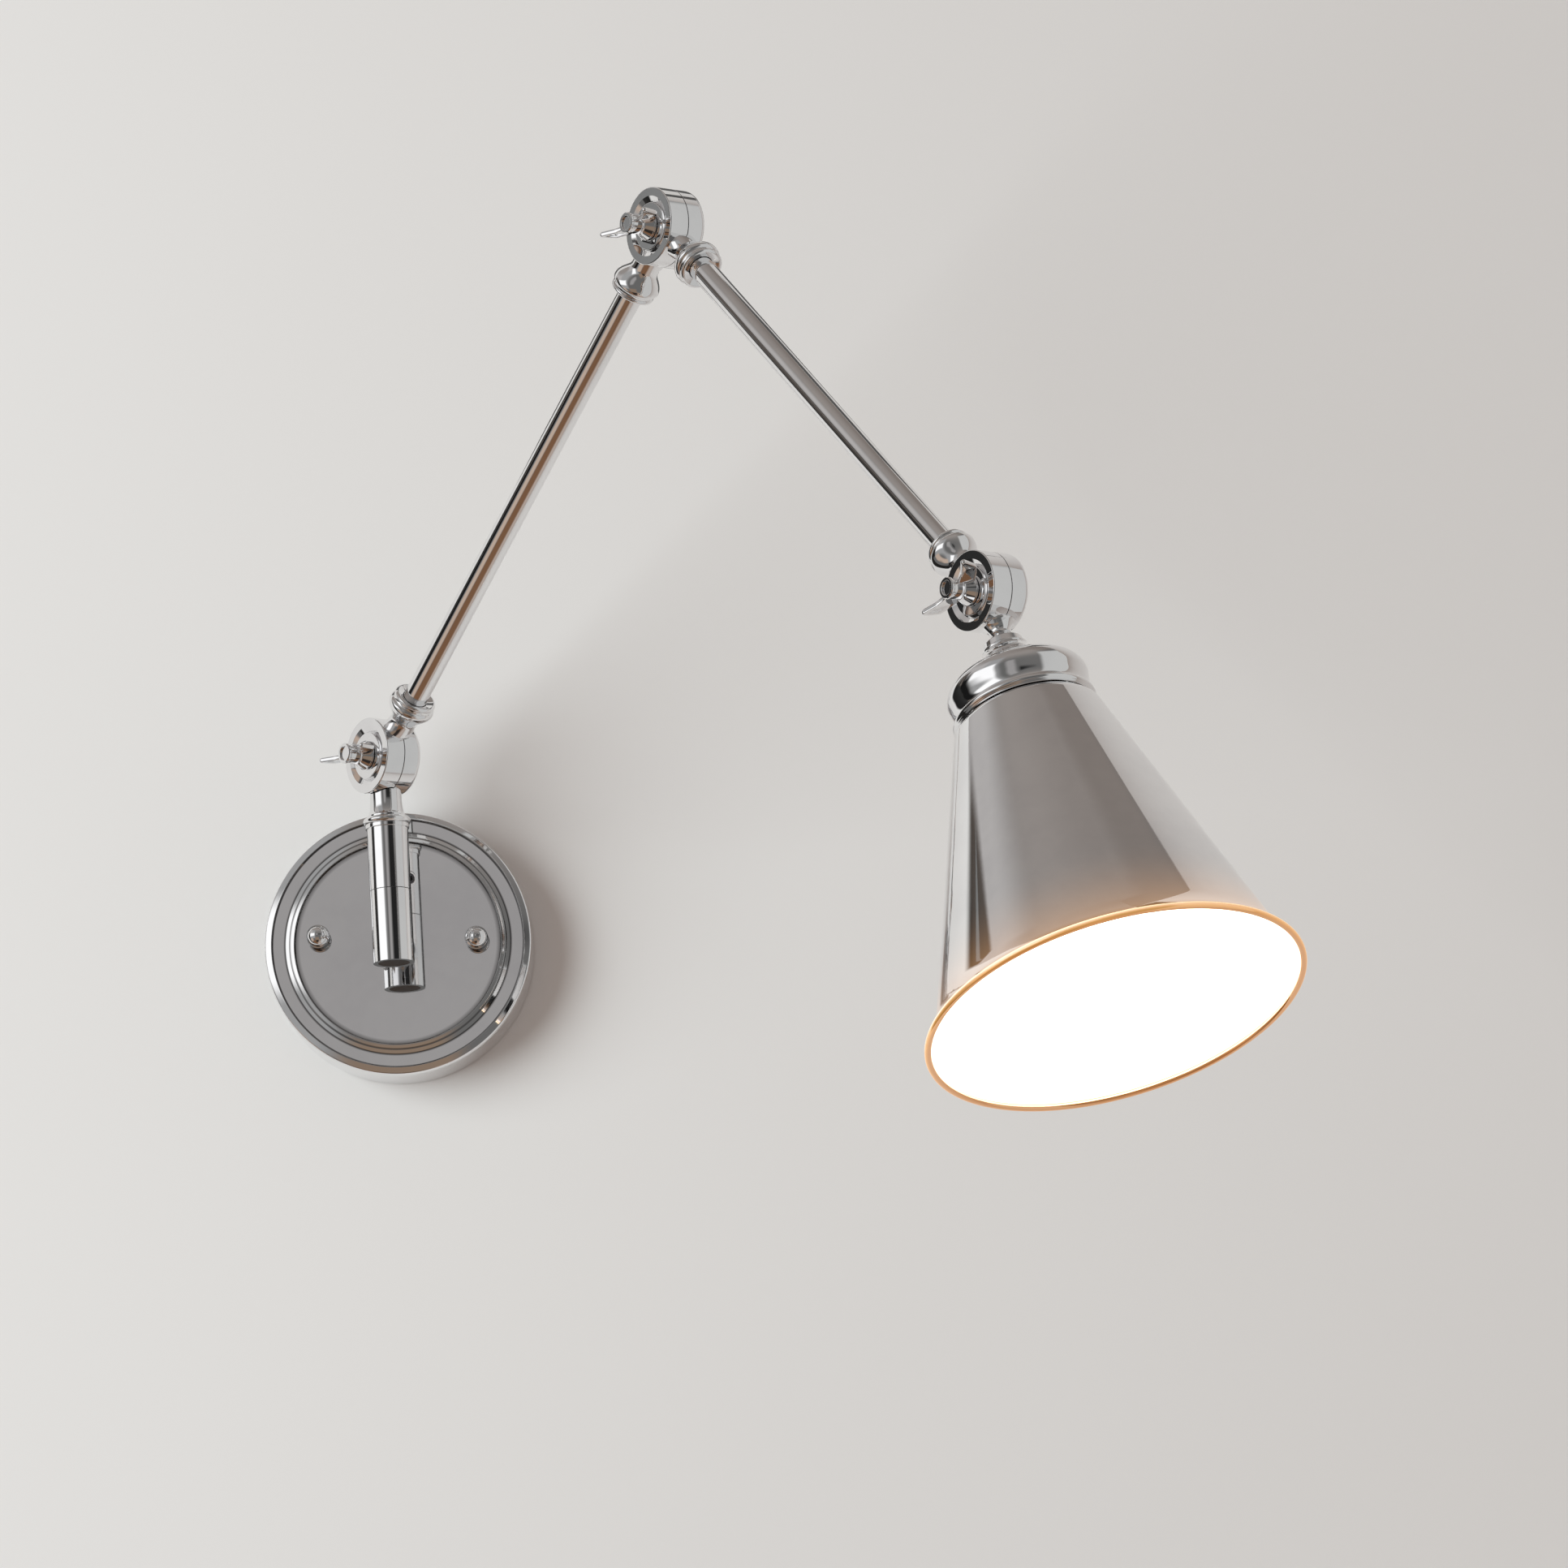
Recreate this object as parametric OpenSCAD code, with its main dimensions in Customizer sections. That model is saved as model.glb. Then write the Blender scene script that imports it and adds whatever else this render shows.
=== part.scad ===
// Adjustable wall lamp with a round wall plate, a swivelling post, two straight
// arms joined by clamped knuckles, and a cone shade on a third knuckle.
// +X runs right along the wall, -Y points into the room, +Z is up. The origin is
// the centre of the wall plate on the wall plane. All sizes are millimetres.

/* [Wall plate] */
// Outside diameter of the wall plate
plate_d = 120; // [114:1:150]
// Depth of the wall plate from the wall to the top of its rim
plate_depth = 26; // [25:1:34]
// Thickness of the spun sheet
plate_sheet = 1.2; // [0.8:0.1:1.5]
// Radius of the rolled bead round the rim
rim_bead_r = 1.6; // [1.2:0.1:2]
// How far the flat face lies below the rim
face_drop = 1; // [0.6:0.1:1.5]
// Diameter of the line between the two raised rings
ring_d = 97.3; // [90:0.1:100]
// Radius of each raised ring
ring_bead_r = 1.3; // [0.8:0.1:1.5]
// How far the centre field lies below the flat face
field_drop = 0.4; // [0.2:0.1:0.8]
// Distance between the two ball nuts
nut_spacing = 71; // [66:1:76]
// Height of the stud line above the plate's centre
stud_rise = 1.8; // [-3:0.1:3]
// Diameter of the ball nuts
nut_ball_d = 10.5; // [9.5:0.5:12]

/* [Wall bracket] */
// Thickness of the bracket
bracket_sheet = 2; // [1.5:0.1:3]
// Width of the two bars of the bracket
bracket_bar_w = 20; // [18:1:22]
// Distance between the two wall screws
wall_screw_spacing = 60; // [58:1:64]
// Length of the wall screw slots from end to end
wall_slot_length = 14; // [10:1:16]
// Width of the wall screw slots
wall_slot_w = 4.6; // [4:0.1:5.5]
// Diameter of the studs that hold the plate
stud_d = 5; // [4:0.5:5.5]
// Diameter of the cable hole in the bracket
cable_hole_d = 9; // [7:0.5:10]

/* [Post] */
// Diameter of the two post barrels
post_d = 18.4; // [18:0.1:20]
// Distance from the plate's rim to the post axis
post_stand_off = 27; // [25:1:32]
// Length of the post below the plate centre
post_below = 15; // [14:0.5:20]
// Height of the seam between the fixed and the turning barrel
post_seam = 17.8; // [16:0.2:20]
// Height of the top of the turning barrel
post_top = 46; // [45:0.5:50]
// Height of the shoulder pivot
shoulder_height = 79; // [78:0.5:88]
// Outside diameter of the beaded collar on the post
post_collar_d = 21.4; // [20.5:0.1:23]
// Height of the collar on the post, with the step under its bead
post_collar_h = 5; // [4:0.1:6]
// Diameter of the neck that stands on the collar
post_neck_d = 14.2; // [13:0.2:15]
// Diameter of the swivel spindle
spindle_d = 14.9; // [14:0.1:15.2]
// Diameter of the threaded stub between plate and post
stub_d = 10; // [9:0.1:10.4]
// Outside diameter of the sleeve on the stub
sleeve_d = 14; // [13:0.5:16]

/* [Knuckles] */
// Diameter of the knuckle drums
knuckle_d = 34; // [32:0.5:36]
// Width of a knuckle over both halves
knuckle_w = 18.6; // [17:0.2:20]
// Gap left between parts that turn past each other
seam_gap = 0.3; // [0.2:0.05:0.4]
// Outer diameter of the bevelled recess in the front face
recess_d = 26.4; // [25:0.2:28]
// Depth of the recess
recess_depth = 1.4; // [1.2:0.1:1.8]
// Diameter of the clamp bolts
bolt_d = 6; // [5:0.2:6]
// Diameter of the neck between a drum and its socket
neck_d = 12.4; // [12:0.2:13.4]

/* [Wing nuts] */
// Diameter of the hub of a wing nut
wing_hub_d = 8.5; // [8:0.1:9.5]
// Height of the hub above the knuckle face
wing_hub_h = 12.2; // [11:0.1:14]
// Reach of the wings from the axis
wing_reach = 17.2; // [15:0.2:17.4]
// Thickness of the wings
wing_t = 2; // [1.5:0.1:2.5]

/* [Arms] */
// Length of each arm from pivot to pivot
arm_length = 300; // [200:5:400]
// Outside diameter of the arm tubes
tube_d = 11; // [10:0.2:12]
// Wall thickness of the arm tubes
tube_wall = 1; // [0.8:0.1:1.2]
// Diameter over the bead of the arm sockets
socket_d = 21; // [20:0.2:23]
// Diameter of the flex inside the lamp
flex_d = 4.8; // [4:0.1:5]

/* [Shade] */
// Diameter of the mouth over the rolled lip
mouth_d = 160; // [140:1:180]
// Distance from the head pivot to the mouth
shade_reach = 202; // [195:0.5:225]
// Diameter of the cone just under its shoulder
shade_top_d = 64.5; // [63:0.5:70]
// Thickness of the spun shade
shade_sheet = 1; // [0.8:0.1:1.2]
// Diameter of the domed cap at its widest
cap_d = 60; // [59:0.5:61]
// Thickness of the spun cap
cap_sheet = 1.2; // [0.8:0.1:1.4]
// Diameter of the small collar above the cap
cap_collar_d = 19.6; // [17:0.1:20]
// Diameter of the bulb
bulb_d = 60; // [45:1:62]
// Length of the bulb from its contact to its tip
bulb_length = 110; // [100:1:120]

/* [Pose] */
// Angle from the wall to the plane of the arms
arm_swing = 51.6; // [10:0.1:170]
// Rise of the lower arm above level
shoulder_rise = 37.5; // [-20:0.1:90]
// Bend between the lower and the upper arm
elbow_bend = 82.5; // [-40:0.1:125]
// Bend between the upper arm and the shade axis
head_bend = 25.2; // [-90:0.1:110]
// Turn of the shoulder wing nut from level
shoulder_wing_turn = 0; // [-90:1:180]
// Turn of the elbow wing nut from level
elbow_wing_turn = 5; // [-90:1:180]
// Turn of the head wing nut from level
head_wing_turn = 27; // [-90:1:180]
// Turn of the plate's stud line from level, clockwise from the front
plate_turn = 4.2; // [-10:0.1:10]

/* [Hidden] */
$fn = 96;

// Clearance of a fixed fit, and of a fit that turns
fixed_fit = 0.05;
turning_fit = 0.06;
// Overshoot of a cut past the face that it opens
past = 1;

// Wall plate
rim_inset = 0.6;
plate_face_z = plate_depth - face_drop;
plate_field_z = plate_face_z - field_drop;
plate_inside_z = plate_field_z - plate_sheet;
ring_sink = 0.2;
stud_hole_d = stud_d + 2 * fixed_fit;
stud_foot = 0.2;
stud_in_nut = 5;
stud_nut_af = stud_d + 3;
stud_nut_h = 4;
ball_foot_d = 6.8;
ball_foot_cut = 0.4;
hex_af_to_d = 2 / sqrt(3);

// Bracket, terminal block and earth screw, as distances from the centre
bracket_bar_end = 4;
cable_hole_y = (wall_screw_spacing - wall_slot_length) / 4 + 2.5;
earth_screw_x = nut_spacing / 4;
earth_screw_r = 2;
earth_head_h = 2.4;
block_size = [18, 14, 10];
block_x = nut_spacing / 4 - 0.75;
block_front_z = bracket_sheet + block_size[2];
terminal_pitch = 5.6;
terminal_y = -3.5;
terminal_screw_r = 1.8;
terminal_screw_h = 3.2;
terminal_well = 4;
terminal_slot_w = 0.6;

// Stub, washer, nut and sleeve between the plate and the post
post_axis_z = plate_depth + post_stand_off;
stub_bore_d = flex_d + 1;
nipple_washer_t = 1.5;
nipple_nut_h = 4;
stub_start = plate_inside_z - nipple_washer_t - nipple_nut_h - 0.4;
stub_tip_gap = 3.2;
nipple_nut_af = stub_d + 6;

// Post
barrel_seat_z = 6;
spindle_top_z = post_top - 6;
spigot_bottom_z = spindle_top_z + 1;
spindle_bore_r = spindle_d / 2 + turning_fit;
swivel_washer_t = 0.8;
swivel_washer_r = spindle_d / 2 + 1.1;
plug_t = 2;
plug_r = post_d / 2 - 2.2;
screw_r = 2.45;
screw_dimple_r = 3.3;
screw_dimple_depth = 0.5;
lower_dimple_r = 4.1;
lower_dimple_depth = 2.4;
lower_screw_l = 1.6;
lower_screw_z = -3;
screw_socket_r = 1.5;
lower_screw_y = 5.5;
upper_screw_z = post_top - 12;
upper_screw_turn = 104;
groove_depth = 1.2;
groove_h = 2 * screw_r + 1;
collar_step = 1.8;
collar_step_r = post_d / 2 + 0.6;
post_neck_r = post_neck_d / 2;
neck_flange_r = post_collar_d / 2 - 1.9;
neck_flange_t = 0.8;

// Knuckles
drum_r = knuckle_d / 2;
half_w = knuckle_w / 2;
half_gap = seam_gap / 2;
face_chamfer = 0.5;
back_round = 2.5;
neck_root = drum_r - 5;
neck_r = neck_d / 2;
clear_r = drum_r + seam_gap;
boss_r = 8.2;
chamber_r = 13;
chamber_depth = 4.8;
friction_r = 7.6;
friction_t = 1;
washer_r = recess_d / 2 - 2.8;
washer_t = recess_depth - 0.2;
seat_r = washer_r + 0.2;
bolt_hole_r = bolt_d / 2 + turning_fit;
bolt_head_r = bolt_d / 2 + 2.6;
bolt_head_h = 3.2;
bolt_head_seat = half_w - bolt_head_h - 0.4;
bolt_slot_w = 1.2;
bolt_slot_depth = 1.2;
bolt_tip = half_w + wing_hub_h - 0.8;
flex_bore_r = flex_d / 2 + 0.3;

// Sockets, as distances from the pivot along the arm
waist_s = clear_r + 2.2;
swell_start_s = waist_s + 1.9;
socket_r = socket_d / 2;
bead_s = waist_s + 10.9;
bead_depth = 1.5;
bead_fall = 1.7;
rim_s = bead_s + 3.8;
rim_r = socket_r - 0.8;
rim_depth = 1.2;
rim_round = 1.1;
dish_depth = 1.2;
socket_end_s = rim_s + rim_round;
tube_seat_s = socket_end_s - 11;
flex_end_s = clear_r + 0.4;

// Wing nuts, as distances from the knuckle face
wing_base_z = seam_gap - (recess_depth - washer_t);
wing_base_r = wing_hub_d / 2 + 2.3;
wing_root_top = 8.6;
wing_tip_low = 6;
wing_tip_high = 14.6;
wing_slant = 1.8;
wing_corner = 1.3;
wing_root = [bolt_d / 2 + 0.6, 1.2];
wing_belly = [wing_reach - wing_slant - 3.6, wing_tip_low - 2.2];
wing_back = [wing_reach - 7, wing_tip_high - 3.8];
hub_foot_h = 1.2;
hub_taper_h = 5;
hub_lip = 0.4;

// Shade head, as distances from the head pivot along the shade axis
head_waist_r = flex_d / 2 + 2.3;
head_root_r = neck_r + 1.2;
head_swell = 0.65;
head_waist_s = clear_r + 3.2;
neck_start_s = clear_r - 1;
collar_s = head_waist_s + 4;
collar_h = 5;
collar_foot = 1.6;
cap_top_s = collar_s + collar_h;
spigot_r = 5;
cap_foot_r = cap_collar_d / 2 + 0.4;
cap_dome_h = 19;
cap_bulge_r = 7;
cap_bulge_from = 58;
cap_bulge_s = cap_top_s + cap_dome_h;
cap_sweep = 0.75;
cap_groove_s = cap_bulge_s + 8;
cap_groove_r = cap_d / 2 - 1.8;
cap_bead_r = 1.6;
cap_bead_s = cap_groove_s + 2.9;
cap_nut_h = 4;
cap_nut_s = cap_top_s + cap_sheet;
cap_nut_af = 2 * spigot_r + 5;
holder_s = cap_nut_s + cap_nut_h + 0.6;
holder_neck_r = spigot_r + 3;
holder_neck_h = 4.5;
holder_r = 19;
holder_wall = 1.5;
holder_taper_h = 6;
holder_top_t = 2.5;
spigot_end_s = holder_s + holder_neck_h + 1;
holder_inside_s = holder_s + holder_neck_h + holder_taper_h;
shade_seat_s = cap_bead_s + 2.1;
cap_bottom_s = shade_seat_s + 0.22;
flange_r = holder_r + 4.5;
flange_t = 1.5;
holder_grip = 17;
holder_end_s = shade_seat_s + holder_grip;
shade_hole_r = holder_r + 0.3;
shoulder_r = 6.2;
ring_r = holder_r + 4.8;
ring_t = 5;
lip_r = 1.5;
flare_h = 11;
flare_w = 6.2;
flare_in_line = 0.56;
flare_top_r = mouth_d / 2 - lip_r - flare_w;
insulator_t = 9;
insulator_hole_r = 1.5;
insulator_hole_off = 9;
contact_s = holder_inside_s + insulator_t;
contact_t = 1.2;
contact_r = 4;
screw_shell_r = 13.6;
screw_shell_t = 0.7;
bulb_s = contact_s + contact_t + 0.2;
bulb_cap_r = screw_shell_r - 0.4;
bulb_cap_h = 25;
bulb_tip_r = 4.5;
bulb_tip_step = [8, 2.5];
bulb_cap_foot = 4.5;
bulb_cap_t = 0.5;
bulb_neck_r = bulb_cap_r - 0.6;
bulb_neck_in = 8;
bulb_glass_t = 0.9;
bulb_ball_s = bulb_s + bulb_length - bulb_d / 2;

// Points of an elliptical arc round a centre
function arc(centre, rx, ry, from, to, steps = 8) = [
    for (i = [0:steps])
        let (a = from + (to - from) * i / steps)
        [centre[0] + rx * cos(a), centre[1] + ry * sin(a)]
];
// A list of points in the opposite order
function reversed(points) = [for (i = [len(points) - 1:-1:0]) points[i]];
// A soft step from 0 to 1
function ease(t) = (1 - cos(180 * t)) / 2;

// Local +Z becomes the way into the room, the way to the wall, or +X
module toward_room() { rotate([90, 0, 0]) children(); }
module toward_wall() { rotate([-90, 0, 0]) children(); }
module along_x() { rotate([0, 90, 0]) children(); }

// The frames of the links at rest, with +X along the link and Y along the pivots
module at_post() { translate([0, -post_axis_z, 0]) rotate([0, 0, -arm_swing]) children(); }
module at_shoulder() { at_post() translate([0, 0, shoulder_height]) children(); }
module at_lower_arm() { at_shoulder() rotate([0, -shoulder_rise, 0]) children(); }
module at_elbow() { at_lower_arm() translate([arm_length, 0, 0]) children(); }
module at_upper_arm() { at_elbow() rotate([0, elbow_bend, 0]) children(); }
module at_head() { at_upper_arm() translate([arm_length, 0, 0]) children(); }
module at_shade() { at_head() rotate([0, head_bend, 0]) children(); }

// A ring or washer standing on its lower face
module ring(outer_r, inner_r, height) {
    difference() {
        cylinder(r = outer_r, h = height);
        translate([0, 0, -past]) cylinder(r = inner_r, h = height + 2 * past);
    }
}

// A hexagon nut, by its width across flats
module hex_nut(across_flats, height, hole_r) {
    difference() {
        cylinder(d = across_flats * hex_af_to_d, h = height, $fn = 6);
        translate([0, 0, -past]) cylinder(r = hole_r, h = height + 2 * past);
    }
}

// The wall plate's section, from its axis outwards
module plate_section() {
    difference() {
        union() {
            square([plate_d / 2 - rim_inset, plate_face_z]);
            translate([plate_d / 2 - rim_bead_r, plate_depth - rim_bead_r]) circle(rim_bead_r);
            for (side = [-1, 1])
                translate([ring_d / 2 + side * ring_bead_r, plate_face_z - ring_sink]) circle(ring_bead_r);
        }
        translate([0, plate_field_z]) square([ring_d / 2 - 2 * ring_bead_r, face_drop + past]);
        translate([0, -past]) square([plate_d / 2 - rim_inset - plate_sheet, plate_inside_z + past]);
    }
}

// The frame of the plate's stud line, with X along it
module on_stud_line() { rotate(-plate_turn) translate([0, stud_rise, 0]) children(); }

// Something at both ends of the stud line
module at_studs() {
    on_stud_line() for (side = [-1, 1]) translate([side * nut_spacing / 2, 0, 0]) children();
}

module wall_plate() {
    color("gainsboro") toward_room() difference() {
        rotate_extrude() plate_section();
        at_studs() cylinder(d = stud_hole_d, h = plate_depth);
        cylinder(r = stub_d / 2 + fixed_fit, h = plate_depth);
    }
}

// A bar with round ends, lying flat along X
module round_bar(length, width, height) {
    linear_extrude(height) {
        square([length - width, width], center = true);
        for (side = [-1, 1]) translate([side * (length - width) / 2, 0]) circle(d = width);
    }
}

module mounting_bracket() {
    bar_length = wall_screw_spacing + wall_slot_length + 2 * bracket_bar_end;
    cut_h = bracket_sheet + 2 * past;
    color("lightgray") toward_room() difference() {
        union() {
            on_stud_line() round_bar(nut_spacing + bracket_bar_w, bracket_bar_w, bracket_sheet);
            rotate(90) round_bar(bar_length, bracket_bar_w, bracket_sheet);
        }
        translate([0, 0, -past]) {
            at_studs() cylinder(d = stud_hole_d, h = cut_h);
            for (side = [-1, 1]) translate([0, side * wall_screw_spacing / 2, 0])
                rotate(90) round_bar(wall_slot_length, wall_slot_w, cut_h);
            translate([0, -cable_hole_y, 0]) cylinder(d = cable_hole_d, h = cut_h);
            on_stud_line() translate([-earth_screw_x, 0, 0])
                cylinder(r = earth_screw_r + fixed_fit, h = cut_h);
        }
    }
}

module bracket_studs() {
    color("silver") toward_room() at_studs()
        translate([0, 0, stud_foot]) cylinder(d = stud_d, h = plate_field_z + stud_in_nut - stud_foot);
}

module stud_lock_nuts() {
    color("silver") toward_room() at_studs()
        translate([0, 0, bracket_sheet]) hex_nut(stud_nut_af, stud_nut_h, stud_hole_d / 2);
}

module ball_nuts() {
    color("gainsboro") toward_room() at_studs() translate([0, 0, plate_field_z]) difference() {
        union() {
            translate([0, 0, nut_ball_d / 2 - ball_foot_cut]) sphere(d = nut_ball_d);
            cylinder(d = ball_foot_d, h = nut_ball_d / 3);
        }
        translate([0, 0, -nut_ball_d]) cylinder(d = 2 * nut_ball_d, h = nut_ball_d);
        translate([0, 0, -past]) cylinder(d = stud_hole_d, h = stud_in_nut + past + 0.3);
    }
}

module stub_nipple() {
    color("goldenrod") toward_room() translate([0, 0, stub_start])
        ring(stub_d / 2, stub_bore_d / 2, post_axis_z - stub_tip_gap - stub_start);
}

module nipple_washer() {
    color("silver") toward_room() translate([0, 0, plate_inside_z - nipple_washer_t])
        ring(nipple_nut_af / 2 + 2, stub_d / 2 + fixed_fit, nipple_washer_t);
}

module nipple_lock_nut() {
    color("goldenrod") toward_room()
        translate([0, 0, plate_inside_z - nipple_washer_t - nipple_nut_h])
            hex_nut(nipple_nut_af, nipple_nut_h, stub_d / 2 + fixed_fit);
}

module stub_sleeve() {
    color("gainsboro") difference() {
        toward_room() translate([0, 0, plate_field_z])
            ring(sleeve_d / 2, stub_d / 2 + fixed_fit, post_axis_z - plate_field_z);
        translate([0, -post_axis_z, -sleeve_d]) cylinder(r = post_d / 2 + fixed_fit, h = 2 * sleeve_d);
        at_lower_screw() cylinder(r = screw_r + fixed_fit, h = post_d);
    }
}

// The lower screw, which grips the stub from the left
module at_lower_screw() {
    translate([0, -post_axis_z + lower_screw_y, lower_screw_z]) rotate([0, -90, 0]) children();
}

module lower_barrel() {
    color("gainsboro") difference() {
        translate([0, -post_axis_z, -post_below])
            cylinder(d = post_d, h = post_below + post_seam - half_gap);
        translate([0, -post_axis_z, barrel_seat_z])
            cylinder(r = spindle_d / 2 + fixed_fit, h = post_seam);
        translate([0, -post_axis_z, post_seam - half_gap - swivel_washer_t])
            cylinder(r = swivel_washer_r + fixed_fit, h = post_seam);
        translate([0, -post_axis_z, -stub_bore_d / 2])
            cylinder(d = stub_bore_d, h = post_seam);
        toward_room() translate([0, 0, plate_depth])
            cylinder(r = stub_d / 2 + fixed_fit, h = post_stand_off + stub_bore_d / 2 + past);
        translate([0, -post_axis_z, -post_below - past]) cylinder(r = plug_r + fixed_fit, h = plug_t + past);
        at_lower_screw() {
            cylinder(r = screw_r + fixed_fit, h = post_d);
            translate([0, 0, post_d / 2 - lower_dimple_depth]) cylinder(r = lower_dimple_r, h = post_d / 2);
        }
    }
}

module barrel_end_plug() {
    color("gray") translate([0, -post_axis_z, -post_below]) cylinder(r = plug_r, h = plug_t);
}

// A grub screw with a hexagon socket, from its tip outwards
module grub_screw(length) {
    difference() {
        cylinder(r = screw_r, h = length);
        translate([0, 0, length / 2]) cylinder(r = screw_socket_r, h = length, $fn = 6);
    }
}

module lower_set_screw() {
    color("dimgray") at_lower_screw() translate([0, 0, stub_d / 2]) grub_screw(lower_screw_l);
}

module swivel_spindle() {
    color("silver") translate([0, -post_axis_z, 0]) difference() {
        translate([0, 0, barrel_seat_z]) cylinder(d = spindle_d, h = spindle_top_z - barrel_seat_z);
        cylinder(d = stub_bore_d, h = post_top);
        translate([0, 0, upper_screw_z - groove_h / 2])
            ring(spindle_d, spindle_d / 2 - groove_depth, groove_h);
    }
}

module swivel_washer() {
    color("white") translate([0, -post_axis_z, post_seam - half_gap - swivel_washer_t])
        ring(swivel_washer_r, spindle_d / 2 + fixed_fit, swivel_washer_t);
}

// Something at each of the three terminals
module at_terminals() {
    on_stud_line() for (i = [-1, 0, 1])
        translate([block_x + i * terminal_pitch, terminal_y, block_front_z - terminal_well]) children();
}

module terminal_block() {
    color("ivory") toward_room() difference() {
        on_stud_line() translate([block_x - block_size[0] / 2, -block_size[1] / 2, bracket_sheet])
            cube(block_size);
        at_terminals() cylinder(r = terminal_screw_r + 0.2, h = terminal_well + past);
    }
}

module terminal_screws() {
    color("goldenrod") toward_room() at_terminals() difference() {
        cylinder(r = terminal_screw_r, h = terminal_screw_h);
        translate([-terminal_screw_r - past, -terminal_slot_w / 2, terminal_screw_h - 0.8])
            cube([2 * (terminal_screw_r + past), terminal_slot_w, past]);
    }
}

module earth_screw() {
    color("goldenrod") toward_room() on_stud_line() translate([-earth_screw_x, 0, 0]) {
        translate([0, 0, stud_foot]) cylinder(r = earth_screw_r, h = bracket_sheet + 0.6);
        translate([0, 0, bracket_sheet]) cylinder(r = 2 * earth_screw_r, h = earth_head_h);
    }
}

// The flex from the terminal block through the stub and up into the post
module inlet_flex() {
    turn_z = block_front_z + flex_d / 2 + fixed_fit;
    color("white") toward_room() {
        translate([0, 0, turn_z]) along_x() cylinder(d = flex_d, h = block_x);
        translate([0, 0, turn_z]) sphere(d = flex_d);
        translate([0, 0, turn_z]) cylinder(d = flex_d, h = post_axis_z - turn_z);
        translate([0, 0, post_axis_z]) sphere(d = flex_d);
        translate([0, 0, post_axis_z]) rotate([-90, 0, 0]) cylinder(d = flex_d, h = spindle_top_z - flex_d);
    }
}

module upper_barrel() {
    color("gainsboro") at_post() difference() {
        translate([0, 0, post_seam + half_gap])
            ring(post_d / 2, spindle_bore_r, post_top - post_seam - half_gap);
        at_upper_screw() {
            cylinder(r = screw_r + fixed_fit, h = post_d);
            translate([0, 0, post_d / 2 - screw_dimple_depth]) cylinder(r = screw_dimple_r, h = post_d);
        }
    }
}

// The upper screw, which runs in the groove of the spindle
module at_upper_screw() {
    rotate(upper_screw_turn) translate([0, 0, upper_screw_z]) along_x() children();
}

module upper_set_screw() {
    screw_start = spindle_d / 2 - groove_depth + seam_gap;
    color("dimgray") at_post() at_upper_screw()
        translate([0, 0, screw_start]) grub_screw(post_d / 2 - screw_dimple_depth - 0.1 - screw_start);
}

module post_collar() {
    bead = (post_collar_h - collar_step) / 2;
    color("gainsboro") at_post() translate([0, 0, post_top]) rotate_extrude() difference() {
        union() {
            square([collar_step_r, post_collar_h]);
            translate([0, collar_step]) square([post_collar_d / 2 - bead, 2 * bead]);
            translate([post_collar_d / 2 - bead, collar_step + bead]) circle(bead);
        }
        translate([0, -past]) square([spindle_d / 2 + fixed_fit, post_collar_h + 2 * past]);
    }
}

// The front half of a knuckle drum, on the wing nut's side of the seam
module front_drum() {
    toward_room() rotate_extrude() polygon([
        [0, half_gap],
        [drum_r, half_gap],
        [drum_r, half_w - face_chamfer],
        [drum_r - face_chamfer, half_w],
        [0, half_w],
    ]);
}

// What the front half leaves open: the other half, the recess, the bolt and the flex
module front_drum_cuts() {
    toward_room() {
        translate([0, 0, -knuckle_w]) cylinder(r = clear_r, h = knuckle_w + half_gap);
        rotate_extrude() polygon([
            [0, half_w - recess_depth],
            [seat_r, half_w - recess_depth],
            [recess_d / 2, half_w],
            [recess_d / 2, half_w + past],
            [0, half_w + past],
        ]);
        cylinder(r = bolt_hole_r, h = knuckle_w);
        ring(chamber_r, boss_r, chamber_depth);
    }
}

// The back half of a knuckle drum, with a round outer edge
module back_drum() {
    toward_wall() rotate_extrude() {
        translate([0, half_gap]) square([drum_r - back_round, half_w - half_gap]);
        translate([0, half_gap]) square([drum_r, half_w - half_gap - back_round]);
        translate([drum_r - back_round, half_w - back_round]) circle(back_round);
    }
}

module back_drum_cuts() {
    toward_wall() {
        translate([0, 0, -knuckle_w]) cylinder(r = clear_r, h = knuckle_w + half_gap);
        cylinder(r = bolt_d / 2 + fixed_fit, h = knuckle_w);
        translate([0, 0, bolt_head_seat]) cylinder(r = bolt_head_r + 0.4, h = knuckle_w);
        cylinder(r = friction_r, h = half_gap + friction_t);
        ring(chamber_r, boss_r, chamber_depth);
    }
}

// The neck and socket that hold an arm tube, turned about the arm
module socket_body() {
    along_x() rotate_extrude() polygon(concat(
        [[0, neck_root], [neck_r, neck_root]],
        [for (i = [0:10]) [
            neck_r + (socket_r - neck_r) * ease(i / 10),
            swell_start_s + (bead_s - swell_start_s) * i / 10
        ]],
        arc([socket_r - bead_depth, bead_s], bead_depth, bead_fall, 15, 90, 5),
        arc([rim_r - rim_depth, rim_s], rim_depth, rim_round, -75, 90),
        [[tube_d / 2, socket_end_s - dish_depth], [0, socket_end_s - dish_depth]]
    ));
}

module socket_cuts() {
    along_x() {
        cylinder(r = flex_bore_r, h = tube_seat_s + past);
        translate([0, 0, tube_seat_s]) cylinder(r = tube_d / 2 + fixed_fit, h = knuckle_d);
    }
}

module socket_front_half() {
    difference() {
        union() {
            front_drum();
            socket_body();
        }
        front_drum_cuts();
        outside_boss() socket_cuts();
    }
}

module socket_back_half() {
    difference() {
        union() {
            back_drum();
            socket_body();
        }
        back_drum_cuts();
        outside_boss() socket_cuts();
    }
}

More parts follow.
